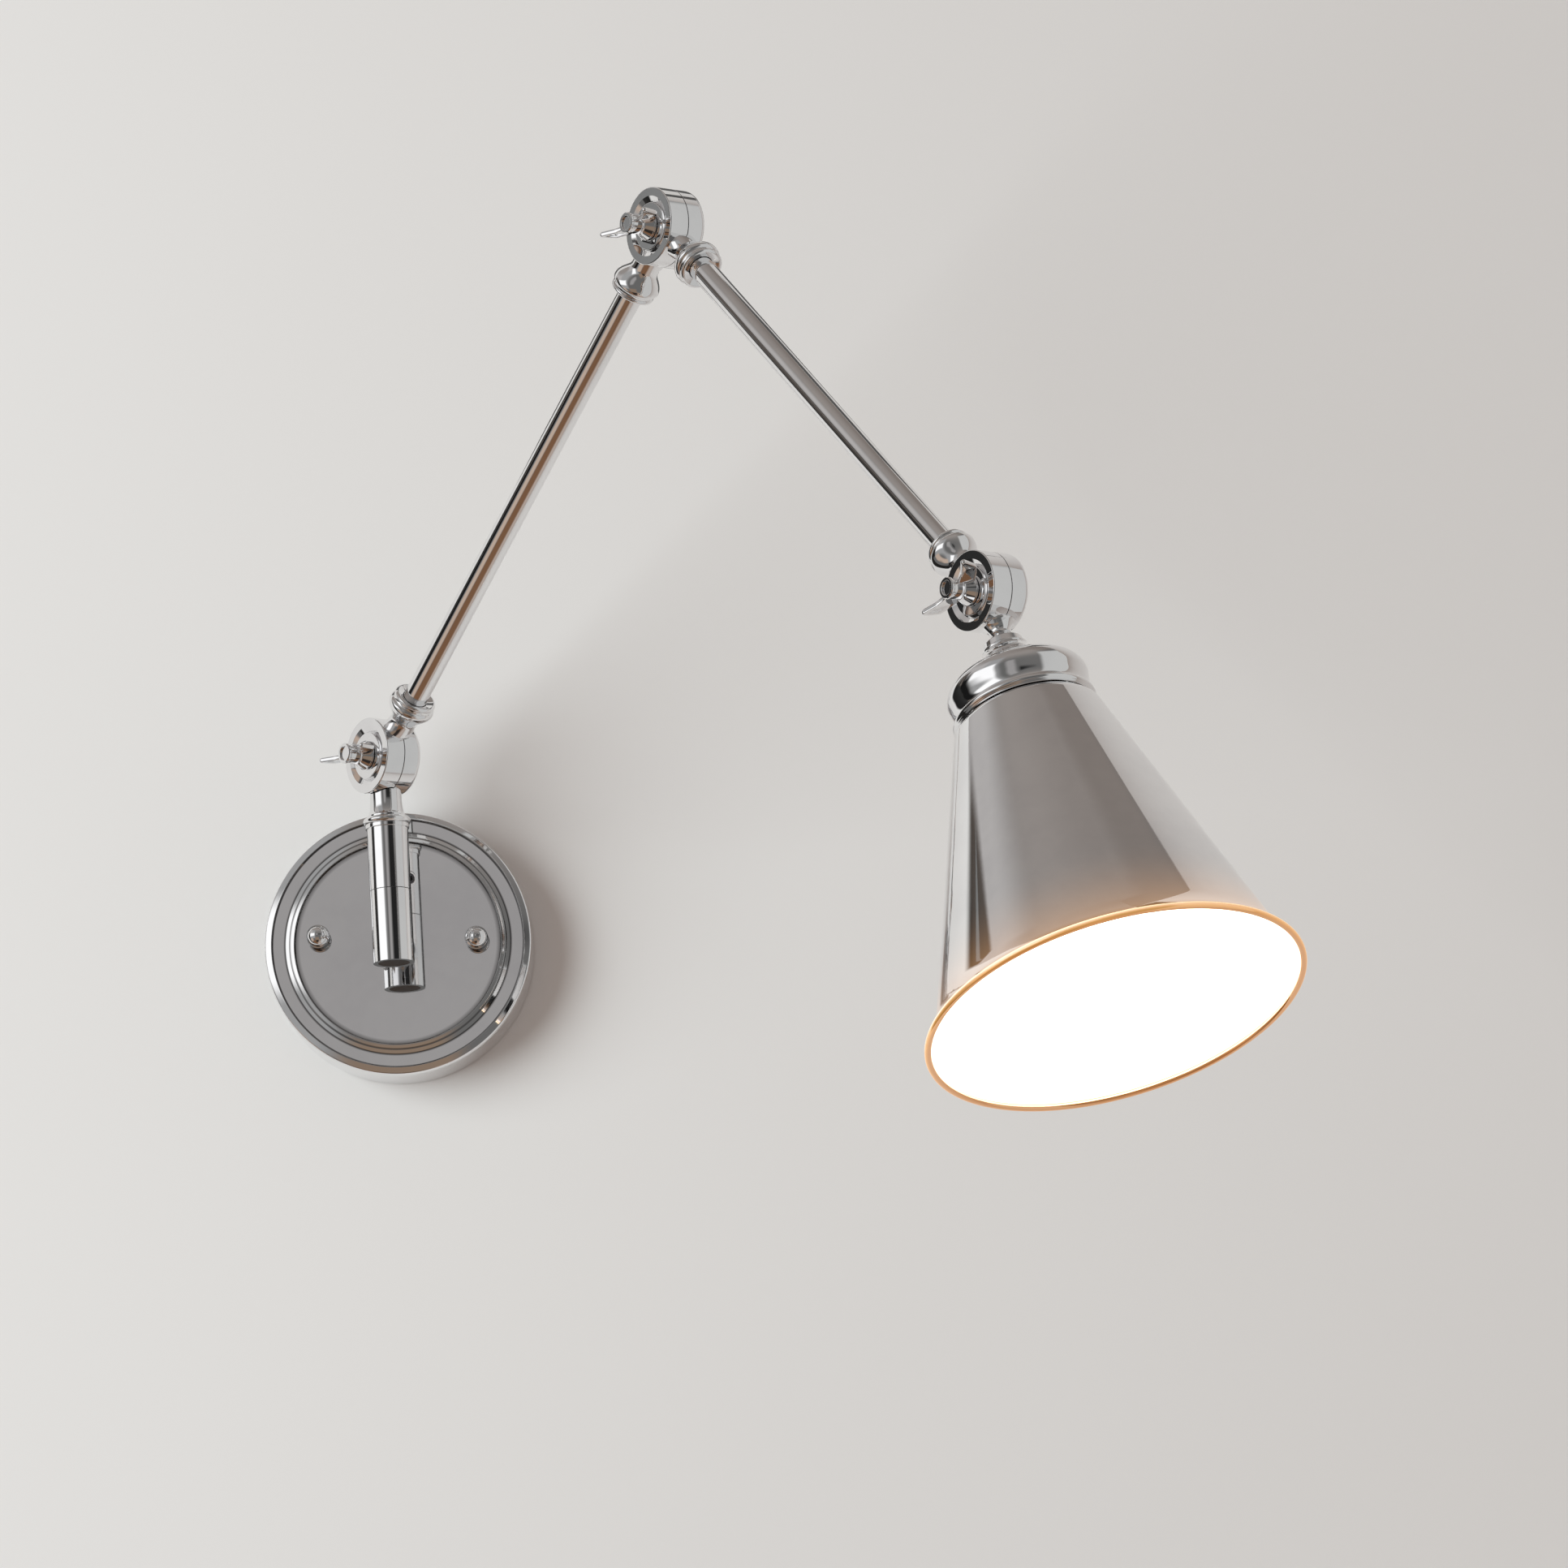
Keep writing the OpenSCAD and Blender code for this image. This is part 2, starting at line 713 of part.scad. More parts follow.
// The flex bore starts in the chamber, so that the boss round the bolt stays whole
module outside_boss() {
    difference() {
        children();
        toward_room() translate([0, 0, -knuckle_w]) cylinder(r = boss_r, h = 2 * knuckle_w);
    }
}

// The neck that stands on the post, with its spigot in the turning barrel
module post_neck() {
    flange_s = shoulder_height - post_top - post_collar_h;
    along_x() rotate_extrude() polygon(concat(
        [[0, neck_root], [post_neck_r, neck_root]],
        [for (i = [0:6]) [
            post_neck_r + (neck_flange_r - post_neck_r) * (1 - cos(90 * i / 6)),
            waist_s + (flange_s - neck_flange_t - waist_s) * sin(90 * i / 6)
        ]],
        [
            [neck_flange_r, flange_s],
            [spindle_d / 2, flange_s],
            [spindle_d / 2, shoulder_height - spigot_bottom_z],
            [0, shoulder_height - spigot_bottom_z],
        ]
    ));
}

module shoulder_back_half() {
    color("gainsboro") at_shoulder() along_x() difference() {
        union() {
            back_drum();
            post_neck();
        }
        back_drum_cuts();
        outside_boss() along_x() cylinder(r = flex_bore_r, h = shoulder_height);
    }
}

module elbow_back_half() {
    color("gainsboro") at_elbow() rotate([0, 180, 0]) socket_back_half();
}

module head_back_half() {
    color("gainsboro") at_head() rotate([0, 180, 0]) socket_back_half();
}

module shoulder_front_half() {
    color("gainsboro") at_lower_arm() socket_front_half();
}

module elbow_front_half() {
    color("gainsboro") at_upper_arm() socket_front_half();
}

// The neck that carries the shade, with its threaded spigot
module shade_neck() {
    along_x() rotate_extrude() polygon(concat(
        [[0, neck_root], [head_root_r, neck_root]],
        [for (i = [0:8])
            let (t = i / 8)
            [
                head_waist_r + (head_root_r - head_waist_r) * pow(1 - 2 * t, 2) * (t < 0.5 ? 1 : head_swell),
                neck_start_s + (collar_s - neck_start_s) * t
            ]],
        [[spigot_r, collar_s], [spigot_r, spigot_end_s], [0, spigot_end_s]]
    ));
}

module head_front_half() {
    color("gainsboro") at_shade() difference() {
        union() {
            front_drum();
            shade_neck();
        }
        front_drum_cuts();
        outside_boss() along_x() cylinder(r = flex_bore_r, h = spigot_end_s + past);
    }
}

// A clamp bolt, with a slotted head in the back half
module clamp_bolt() {
    difference() {
        union() {
            toward_room() cylinder(d = bolt_d, h = bolt_tip);
            toward_wall() cylinder(d = bolt_d, h = bolt_head_seat);
            toward_wall() translate([0, 0, bolt_head_seat]) cylinder(r = bolt_head_r, h = bolt_head_h);
        }
        toward_wall() translate([0, 0, bolt_head_seat + bolt_head_h - bolt_slot_depth])
            translate([-bolt_head_r - past, -bolt_slot_w / 2, 0])
                cube([2 * (bolt_head_r + past), bolt_slot_w, bolt_slot_depth + past]);
    }
}

module shoulder_bolt() {
    color("silver") at_shoulder() clamp_bolt();
}

module elbow_bolt() {
    color("silver") at_elbow() clamp_bolt();
}

module head_bolt() {
    color("silver") at_head() clamp_bolt();
}

module friction_washer() {
    toward_wall() translate([0, 0, half_gap]) ring(friction_r - 0.1, bolt_d / 2 + 0.15, friction_t);
}

module shoulder_friction_washer() {
    color("white") at_shoulder() friction_washer();
}

module elbow_friction_washer() {
    color("white") at_elbow() friction_washer();
}

module head_friction_washer() {
    color("white") at_head() friction_washer();
}

module face_washer() {
    toward_room() translate([0, 0, half_w - recess_depth]) ring(washer_r, bolt_hole_r + 0.2, washer_t);
}

module shoulder_face_washer() {
    color("silver") at_lower_arm() face_washer();
}

module elbow_face_washer() {
    color("silver") at_upper_arm() face_washer();
}

module head_face_washer() {
    color("silver") at_shade() face_washer();
}

// A wing nut on a face at height 0, with its wings along X
module wing_nut() {
    difference() {
        union() {
            rotate_extrude() polygon([
                [0, wing_base_z],
                [wing_base_r, wing_base_z],
                [wing_base_r, hub_foot_h],
                [wing_hub_d / 2, hub_taper_h],
                [wing_hub_d / 2, wing_hub_h - 4 * hub_lip],
                [wing_hub_d / 2 + hub_lip, wing_hub_h - 3 * hub_lip],
                [wing_hub_d / 2 + hub_lip, wing_hub_h - hub_lip],
                [wing_hub_d / 2, wing_hub_h],
                [0, wing_hub_h],
            ]);
            for (side = [0, 180]) rotate(side) wing();
        }
        translate([0, 0, -past]) cylinder(r = bolt_hole_r, h = wing_hub_h + 2 * past);
    }
}

// One wing, swept outwards and forwards
module wing() {
    translate([0, wing_t / 2, 0]) rotate([90, 0, 0]) linear_extrude(wing_t) polygon(concat(
        [wing_root, [wing_base_r, wing_root[1] + 0.4], wing_belly, [wing_reach - wing_slant, wing_tip_low]],
        arc([wing_reach - wing_corner, wing_tip_high - wing_corner], wing_corner, wing_corner, 0, 110, 6),
        [wing_back, [wing_root[0], wing_root_top]]
    ));
}

// A wing nut on the front of a knuckle, turned in the frame of its link
module turned_wing_nut(turn) {
    color("gainsboro") rotate([0, -turn, 0]) toward_room() translate([0, 0, half_w]) wing_nut();
}

module shoulder_wing_nut() {
    at_shoulder() turned_wing_nut(shoulder_wing_turn);
}

module elbow_wing_nut() {
    at_elbow() turned_wing_nut(elbow_wing_turn - shoulder_rise);
}

module head_wing_nut() {
    at_head() turned_wing_nut(head_wing_turn + elbow_bend - shoulder_rise);
}

module arm_tube() {
    along_x() translate([0, 0, tube_seat_s])
        ring(tube_d / 2, tube_d / 2 - tube_wall, arm_length - 2 * tube_seat_s);
}

module lower_tube() {
    color("gainsboro") at_lower_arm() arm_tube();
}

module upper_tube() {
    color("gainsboro") at_upper_arm() arm_tube();
}

module arm_flex() {
    along_x() translate([0, 0, flex_end_s]) cylinder(d = flex_d, h = arm_length - 2 * flex_end_s);
}

module lower_arm_flex() {
    color("white") at_lower_arm() arm_flex();
}

module upper_arm_flex() {
    color("white") at_upper_arm() arm_flex();
}

module post_flex() {
    color("white") at_post() translate([0, 0, spigot_bottom_z])
        cylinder(d = flex_d, h = shoulder_height - flex_end_s - spigot_bottom_z);
}

module cap_collar() {
    color("gainsboro") at_shade() along_x() translate([0, 0, collar_s]) difference() {
        union() {
            cylinder(r1 = cap_collar_d / 2 - 1.6, r2 = cap_collar_d / 2 - 0.9, h = collar_h);
            translate([0, 0, collar_h - collar_foot]) cylinder(d = cap_collar_d, h = collar_foot);
        }
        translate([0, 0, -past]) cylinder(r = spigot_r + fixed_fit, h = collar_h + 2 * past);
    }
}

// The outer line of the domed cap, inset by a wall
function cap_line(inset) =
    let (bulge = [cap_d / 2 - cap_bulge_r, cap_bulge_s])
    let (bulge_r = cap_bulge_r - inset)
    let (slope_end = bulge + bulge_r * [cos(cap_bulge_from), -sin(cap_bulge_from)])
    let (foot = [cap_foot_r, cap_top_s + inset])
    concat(
        [[spigot_r + fixed_fit, cap_top_s + inset]],
        [for (i = [0:6])
            let (t = i / 6)
            [
                foot[0] + (slope_end[0] - foot[0]) * t,
                foot[1] + (slope_end[1] - foot[1]) * pow(t, cap_sweep)
            ]],
        arc(bulge, bulge_r, bulge_r, -cap_bulge_from + 8, 15, 8),
        [[cap_groove_r - inset, cap_groove_s]],
        arc([cap_groove_r + 0.6, cap_bead_s], cap_bead_r + 0.1 - inset, cap_bead_r, -50, 50, 6),
        [[cap_groove_r + 1 - inset, cap_bottom_s]]
    );

module shade_cap() {
    color("gainsboro") at_shade() along_x() rotate_extrude()
        polygon(concat(cap_line(0), reversed(cap_line(cap_sheet))));
}

module cap_nut() {
    color("goldenrod") at_shade() along_x() translate([0, 0, cap_nut_s])
        hex_nut(cap_nut_af, cap_nut_h, spigot_r + fixed_fit);
}

// The line of the shade from its hole to its lip, inset by a wall
function shade_line(inset) = concat(
    [[shade_hole_r, shade_seat_s + inset]],
    arc(
        [shade_top_d / 2 - shoulder_r, shade_seat_s + shoulder_r], shoulder_r - inset, shoulder_r - inset,
        -90, -17, 8
    ),
    [
        for (i = [0:6])
            let (t = i / 6)
            [
                flare_top_r + flare_w * t * (flare_in_line + (1 - flare_in_line) * t) - inset,
                shade_reach - lip_r - flare_h * (1 - t)
            ]
    ]
);

module shade() {
    color("gainsboro") at_shade() along_x() rotate_extrude() {
        polygon(concat(shade_line(0), reversed(shade_line(shade_sheet))));
        translate([mouth_d / 2 - lip_r, shade_reach - lip_r]) circle(lip_r);
    }
}

module lampholder_shell() {
    color("black") at_shade() along_x() rotate_extrude() difference() {
        union() {
            translate([0, holder_s]) square([holder_neck_r, holder_neck_h + past]);
            polygon([
                [0, holder_s + holder_neck_h],
                [holder_neck_r, holder_s + holder_neck_h],
                [holder_r, holder_inside_s],
                [holder_r, holder_end_s],
                [0, holder_end_s],
            ]);
            translate([0, shade_seat_s - flange_t]) square([flange_r, flange_t]);
        }
        translate([0, holder_inside_s]) square([holder_r - holder_wall, holder_end_s]);
        polygon([
            [0, holder_s + holder_neck_h + holder_top_t],
            [spigot_r + fixed_fit, holder_s + holder_neck_h + holder_top_t],
            [holder_r - holder_wall, holder_inside_s],
            [0, holder_inside_s],
        ]);
        translate([0, holder_s - past]) square([spigot_r + fixed_fit, holder_neck_h + holder_taper_h]);
    }
}

module lampholder_insulator() {
    color("white") at_shade() along_x() translate([0, 0, holder_inside_s]) difference() {
        cylinder(r = holder_r - holder_wall - fixed_fit, h = insulator_t);
        for (side = [-1, 1]) translate([0, side * insulator_hole_off, -past])
            cylinder(r = insulator_hole_r, h = insulator_t + 2 * past);
    }
}

module holder_screw_shell() {
    color("goldenrod") at_shade() along_x() translate([0, 0, contact_s])
        ring(screw_shell_r + screw_shell_t, screw_shell_r, holder_end_s - contact_s - 1);
}

module centre_contact() {
    color("goldenrod") at_shade() along_x() translate([0, 0, contact_s])
        cylinder(r = contact_r, h = contact_t);
}

module shade_ring() {
    color("black") at_shade() along_x() translate([0, 0, shade_seat_s + shade_sheet])
        ring(ring_r, holder_r + fixed_fit, ring_t);
}

module head_flex() {
    color("white") at_shade() along_x() translate([0, 0, flex_end_s])
        cylinder(d = flex_d, h = holder_inside_s - flex_end_s);
}

module bulb_cap() {
    color("silver") at_shade() along_x() translate([0, 0, bulb_s]) rotate_extrude() polygon([
        [0, 0],
        [bulb_tip_r, 0],
        bulb_tip_step,
        [bulb_cap_r, bulb_cap_foot],
        [bulb_cap_r, bulb_cap_h],
        [bulb_cap_r - bulb_cap_t, bulb_cap_h],
        [bulb_cap_r - bulb_cap_t, bulb_cap_foot + 1.5],
        [0, bulb_cap_foot + 1.5],
    ]);
}

// The line of the bulb from its neck to its tip, inset by the glass
function bulb_line(inset) = concat(
    [[bulb_neck_r - inset, bulb_s + bulb_cap_h - bulb_neck_in], [bulb_neck_r - inset, bulb_s + bulb_cap_h]],
    [
        for (i = [1:7])
            let (t = i / 8)
            [
                bulb_neck_r - inset + (bulb_d / 2 * 0.94 - bulb_neck_r) * ease(t * 0.86),
                bulb_s + bulb_cap_h + (bulb_ball_s - bulb_d / 2 * 0.34 - bulb_s - bulb_cap_h) * t
            ]
    ],
    arc([0, bulb_ball_s], bulb_d / 2 - inset, bulb_d / 2 - inset, -20, 90, 14)
);

module bulb_globe() {
    color("white", 0.7) at_shade() along_x() rotate_extrude()
        polygon(concat(bulb_line(0), reversed(bulb_line(bulb_glass_t))));
}

wall_plate();
mounting_bracket();
bracket_studs();
stud_lock_nuts();
ball_nuts();
stub_nipple();
nipple_washer();
nipple_lock_nut();
stub_sleeve();
lower_barrel();
barrel_end_plug();
lower_set_screw();
swivel_spindle();
swivel_washer();
terminal_block();
terminal_screws();
earth_screw();
inlet_flex();
upper_barrel();
post_collar();
upper_set_screw();
shoulder_back_half();
shoulder_bolt();
shoulder_friction_washer();
post_flex();
shoulder_front_half();
shoulder_face_washer();
lower_tube();
elbow_back_half();
elbow_bolt();
elbow_friction_washer();
lower_arm_flex();
elbow_front_half();
elbow_face_washer();
upper_tube();
head_back_half();
head_bolt();
head_friction_washer();
upper_arm_flex();
head_front_half();
head_face_washer();
cap_collar();
shade_cap();
cap_nut();
shade();
lampholder_shell();
lampholder_insulator();
holder_screw_shell();
centre_contact();
shade_ring();
head_flex();
bulb_cap();
bulb_globe();
shoulder_wing_nut();
elbow_wing_nut();
head_wing_nut();
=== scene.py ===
"""Looks of an adjustable wall lamp in polished chrome: round wall plate, swivelling post,
two tube arms on clamped knuckles, and a lit cone shade. Lengths in the lists are millimetres
along and away from each part's own axis, and become metres when the mesh is made."""

import math

import bmesh
import bpy
import numpy as np
from mathutils import Matrix, Vector

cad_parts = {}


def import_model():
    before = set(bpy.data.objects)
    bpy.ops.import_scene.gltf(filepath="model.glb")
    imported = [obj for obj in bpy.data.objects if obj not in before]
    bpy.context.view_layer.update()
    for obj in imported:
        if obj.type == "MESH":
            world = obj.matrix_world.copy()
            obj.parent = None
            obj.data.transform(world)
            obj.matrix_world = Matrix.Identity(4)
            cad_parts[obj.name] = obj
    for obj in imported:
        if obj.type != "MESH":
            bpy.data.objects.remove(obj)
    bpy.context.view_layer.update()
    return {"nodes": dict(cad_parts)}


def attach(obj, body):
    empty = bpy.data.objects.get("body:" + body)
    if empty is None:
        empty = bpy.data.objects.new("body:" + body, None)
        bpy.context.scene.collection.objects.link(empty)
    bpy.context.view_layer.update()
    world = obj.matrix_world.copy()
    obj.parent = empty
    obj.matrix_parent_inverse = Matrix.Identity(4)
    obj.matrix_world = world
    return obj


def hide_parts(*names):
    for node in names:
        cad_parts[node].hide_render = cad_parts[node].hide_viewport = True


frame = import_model()

# The lamp's own frames: the arms lie in one upright plane.

MM = 0.001
SWING = math.radians(51.6)
ALONG = np.array([math.cos(SWING), -math.sin(SWING), 0.0])
PIVOT = np.array([math.sin(SWING), math.cos(SWING), 0.0])
UP = np.array([0.0, 0.0, 1.0])
ROOM = np.array([0.0, -1.0, 0.0])
RIGHT = np.array([1.0, 0.0, 0.0])
POST_OUT = 53.0
POST_FOOT = POST_OUT * ROOM
SHOULDER = POST_FOOT + 79 * UP
ARM = 300.0


def way(rise):
    """Unit vector along a link that rises by so many degrees in the plane of the arms."""
    a = math.radians(rise)
    return math.cos(a) * ALONG + math.sin(a) * UP


LOWER = way(37.5)
UPPER = way(-45.0)
SHADE = way(-70.2)
ELBOW = SHOULDER + ARM * LOWER
HEAD = ELBOW + ARM * UPPER

# Lines: sections as (height, radius) points.


def arc(height, radius, along, across, start, end, steps=10):
    """Elliptical arc: height + along * sin(angle), radius + across * cos(angle)."""
    a = np.radians(np.linspace(start, end, steps + 1))
    return np.column_stack([height + along * np.sin(a), radius + across * np.cos(a)])


def eased(corners, steps=5, loop=True):
    """Corner points (height, radius, fillet). Each corner gives way to a circular arc that
    touches both its sides, whose centre lies on the corner's bisector."""
    c = np.array([(p + (0.0,))[:3] for p in map(tuple, corners)], float)
    out = []
    for i, (h, r, f) in enumerate(c):
        at = np.array([h, r])
        if f <= 0 or (not loop and i in (0, len(c) - 1)):
            out.append(at[None])
            continue
        a = c[i - 1, :2] - at
        b = c[(i + 1) % len(c), :2] - at
        a, b = a / np.linalg.norm(a), b / np.linalg.norm(b)
        half = math.acos(np.clip(a @ b, -1, 1)) / 2
        middle = (a + b) / np.linalg.norm(a + b)
        centre = at + middle * f / math.sin(half)
        first = at + a * f / math.tan(half) - centre
        last = at + b * f / math.tan(half) - centre
        t = np.linspace(0, 1, steps + 1)[:, None]
        turn = math.pi - 2 * half
        swept = np.sin((1 - t) * turn) * first + np.sin(t * turn) * last
        out.append(centre + swept / math.sin(turn))
    return np.concatenate(out)


def flowing(points, steps=6):
    """Catmull-Rom curve: a cubic between each two points whose slope at a point is half the
    way from its last neighbour to its next."""
    p = np.array(points, float)
    p = np.concatenate([2 * p[:1] - p[1:2], p, 2 * p[-1:] - p[-2:-1]])
    t = np.linspace(0, 1, steps, endpoint=False)[None, :, None]
    a, b, c, d = p[:-3, None], p[1:-2, None], p[2:-1, None], p[3:, None]
    curve = 0.5 * (2 * b + (c - a) * t + (2 * a - 5 * b + 4 * c - d) * t**2
                   + (3 * b - a - 3 * c + d) * t**3)
    return np.concatenate([curve.reshape(-1, p.shape[1]), p[-2:-1]])


# Shells: closed grids of points.


def face_normals(points, quads):
    """The normal of each quad, by its area: the cross product of its two diagonals."""
    a, b, c, d = (points[quads[:, k]] for k in range(4))
    return np.cross(c - a, d - b)


def shell(rows, loop=False, tag=None):
    """A grid of rows that each close on themselves, as (points, faces, tags). With loop the
    last row joins the first. Otherwise the first and last rows have shrunk to a point, which
    becomes one vertex. The faces are turned outwards by the sign of the volume."""
    rows = np.asarray(rows, float)
    n, m = rows.shape[:2]
    index = np.arange(n * m).reshape(n, m)
    if not loop:
        index[0] = index[0, 0]
        index[-1] = index[-1, 0]
    below, above = (index, np.roll(index, -1, 0)) if loop else (index[:-1], index[1:])
    quads = np.stack([below, np.roll(below, -1, 1), np.roll(above, -1, 1), above], -1)
    points = rows.reshape(-1, 3)
    tags = np.repeat(np.zeros((n, 2)) if tag is None else np.asarray(tag, float), m, 0)
    used, quads = np.unique(quads, return_inverse=True)
    points, tags, quads = points[used], tags[used], quads.reshape(-1, 4)
    outwards = points[quads].mean(1) - points.mean(0)
    if (face_normals(points, quads) * outwards).sum() < 0:
        quads = quads[:, ::-1]
    return points, quads, tags


def turned(line, origin, axis, side, around=96, loop=True, tag=None):
    """A line turned round an axis: origin + axis * height + radius * (cos side + sin across)."""
    line = np.asarray(line, float)
    across = np.cross(axis, side)
    a = np.linspace(0, 2 * math.pi, around, endpoint=False)[None, :, None]
    spoke = np.cos(a) * side + np.sin(a) * across
    rows = origin + line[:, :1, None] * axis + line[:, 1:, None] * spoke
    return shell(rows, loop, tag)


def piece(name, body, shells, material, stands_for):
    """One object out of closed shells. Each vertex gets the mean of its faces' normals, by
    area, so that flats stay flat beside small fillets."""
    start, points, faces, tags = 0, [], [], []
    for p, q, t in shells:
        points.append(p)
        faces.append(q + start)
        tags.append(t)
        start += len(p)
    points = np.concatenate(points) * MM
    faces, tags = np.concatenate(faces), np.concatenate(tags)
    square = face_normals(points, faces)
    normals = np.zeros_like(points)
    for k in range(4):
        np.add.at(normals, faces[:, k], square)
    normals /= np.maximum(np.linalg.norm(normals, axis=1), 1e-20)[:, None]
    mesh = bpy.data.meshes.new(name)
    mesh.from_pydata(points.tolist(), [], [list(dict.fromkeys(f)) for f in faces.tolist()])
    mesh.polygons.foreach_set("use_smooth", np.ones(len(faces), bool))
    for k, label in enumerate(("inside", "near_mouth")):
        layer = mesh.attributes.new(label, "FLOAT", "POINT")
        layer.data.foreach_set("value", np.ascontiguousarray(tags[:, k], np.float32))
    mesh.normals_split_custom_set_from_vertices(normals.tolist())
    mesh.materials.append(material)
    made = bpy.data.objects.new(name, mesh)
    bpy.context.scene.collection.objects.link(made)
    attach(made, body)
    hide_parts(*stands_for)


WELD = 2e-6
CREASE = math.radians(28)


def smoothed_copy(name, body, node, material):
    """A copy of a CAD node with its doubles merged and its round faces shaded smooth."""
    work = bmesh.new()
    work.from_mesh(frame["nodes"][node].data)
    bmesh.ops.remove_doubles(work, verts=work.verts, dist=WELD)
    for edge in work.edges:
        edge.smooth = edge.is_manifold and edge.calc_face_angle(0) < CREASE
    for face in work.faces:
        face.smooth = True
    mesh = bpy.data.meshes.new(name)
    work.to_mesh(mesh)
    work.free()
    mesh.materials.clear()
    mesh.materials.append(material)
    made = bpy.data.objects.new(name, mesh)
    bpy.context.scene.collection.objects.link(made)
    keep = made.modifiers.new("flat_faces", "WEIGHTED_NORMAL")
    keep.keep_sharp = True
    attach(made, body)
    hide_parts(node)


# Finishes.


class Tree:
    """Short calls for making and joining nodes in one node tree."""

    MIX_FACTOR, MIX_A, MIX_B, MIX_COLOR = 0, 6, 7, 2

    def __init__(self, tree):
        self.tree = tree

    def add(self, kind, **values):
        """A new node with its properties set."""
        node = self.tree.nodes.new(kind)
        for key, value in values.items():
            setattr(node, key, value)
        return node

    def join(self, out, into):
        self.tree.links.new(out, into)

    def math(self, kind, a, b=0.0, c=0.0):
        """One step of arithmetic on sockets or plain numbers."""
        node = self.add("ShaderNodeMath", operation=kind)
        for socket, value in zip(node.inputs, (a, b, c)):
            if isinstance(value, (int, float)):
                socket.default_value = value
            else:
                self.join(value, socket)
        return node.outputs[0]

    def fade(self, value, low, high, smooth=True):
        """0 where the value is at low, 1 where it is at high."""
        node = self.add("ShaderNodeMapRange",
                        interpolation_type="SMOOTHSTEP" if smooth else "LINEAR")
        self.join(value, node.inputs["Value"])
        for key, number in (("From Min", low), ("From Max", high)):
            node.inputs[key].default_value = number
        return node.outputs["Result"]

    def mix(self, factor, a, b):
        """A blend of two colours, each a socket or a tuple."""
        node = self.add("ShaderNodeMix", data_type="RGBA")
        self.join(factor, node.inputs[self.MIX_FACTOR])
        for socket, value in ((node.inputs[self.MIX_A], a), (node.inputs[self.MIX_B], b)):
            if isinstance(value, tuple):
                socket.default_value = (*value, 1.0)
            else:
                self.join(value, socket)
        return node.outputs[self.MIX_COLOR]


def node_group(name, ins, outs):
    """An empty shader group with named inputs and outputs."""
    group = bpy.data.node_groups.new(name, "ShaderNodeTree")
    for label, kind, value in ins:
        made = group.interface.new_socket(label, in_out="INPUT", socket_type=kind)
        if value is not None:
            made.default_value = value
    for label, kind in outs:
        group.interface.new_socket(label, in_out="OUTPUT", socket_type=kind)
    tree = Tree(group)
    return group, tree, tree.add("NodeGroupInput"), tree.add("NodeGroupOutput")


FINER, BROAD_SHARE = 7.0, 0.75
GRAIN_DEPTH = 0.0002


def build_haze():
    """Handling haze: broad soft noise with finer specks on top, between two values."""
    group, t, given, out = node_group(
        "handling_haze",
        [("Vector", "NodeSocketVector", None), ("Scale", "NodeSocketFloat", 60.0),
         ("Low", "NodeSocketFloat", 0.03), ("High", "NodeSocketFloat", 0.1)],
        [("Value", "NodeSocketFloat"), ("Mask", "NodeSocketFloat")])
    broad = t.add("ShaderNodeTexNoise")
    fine = t.add("ShaderNodeTexNoise")
    broad.inputs["Detail"].default_value = 3
    fine.inputs["Detail"].default_value = 2
    t.join(given.outputs["Vector"], broad.inputs["Vector"])
    t.join(given.outputs["Vector"], fine.inputs["Vector"])
    t.join(given.outputs["Scale"], broad.inputs["Scale"])
    t.join(t.math("MULTIPLY", given.outputs["Scale"], FINER), fine.inputs["Scale"])
    both = t.math("ADD", t.math("MULTIPLY", broad.outputs[0], BROAD_SHARE),
                  t.math("MULTIPLY", fine.outputs[0], 1 - BROAD_SHARE))
    mask = t.fade(both, 0.38, 0.66)
    span = t.math("SUBTRACT", given.outputs["High"], given.outputs["Low"])
    value = t.math("ADD", given.outputs["Low"], t.math("MULTIPLY", mask, span))
    t.join(value, out.inputs["Value"])
    t.join(mask, out.inputs["Mask"])
    return group


def build_grain():
    """Fine surface grain as a height: small noise for moulded, cast or plated faces."""
    group, t, given, out = node_group(
        "fine_grain",
        [("Vector", "NodeSocketVector", None), ("Scale", "NodeSocketFloat", 900.0)],
        [("Height", "NodeSocketFloat")])
    noise = t.add("ShaderNodeTexNoise")
    noise.inputs["Detail"].default_value = 4
    t.join(given.outputs["Vector"], noise.inputs["Vector"])
    t.join(given.outputs["Scale"], noise.inputs["Scale"])
    t.join(noise.outputs[0], out.inputs["Height"])
    return group


HAZE = build_haze()
GRAIN = build_grain()


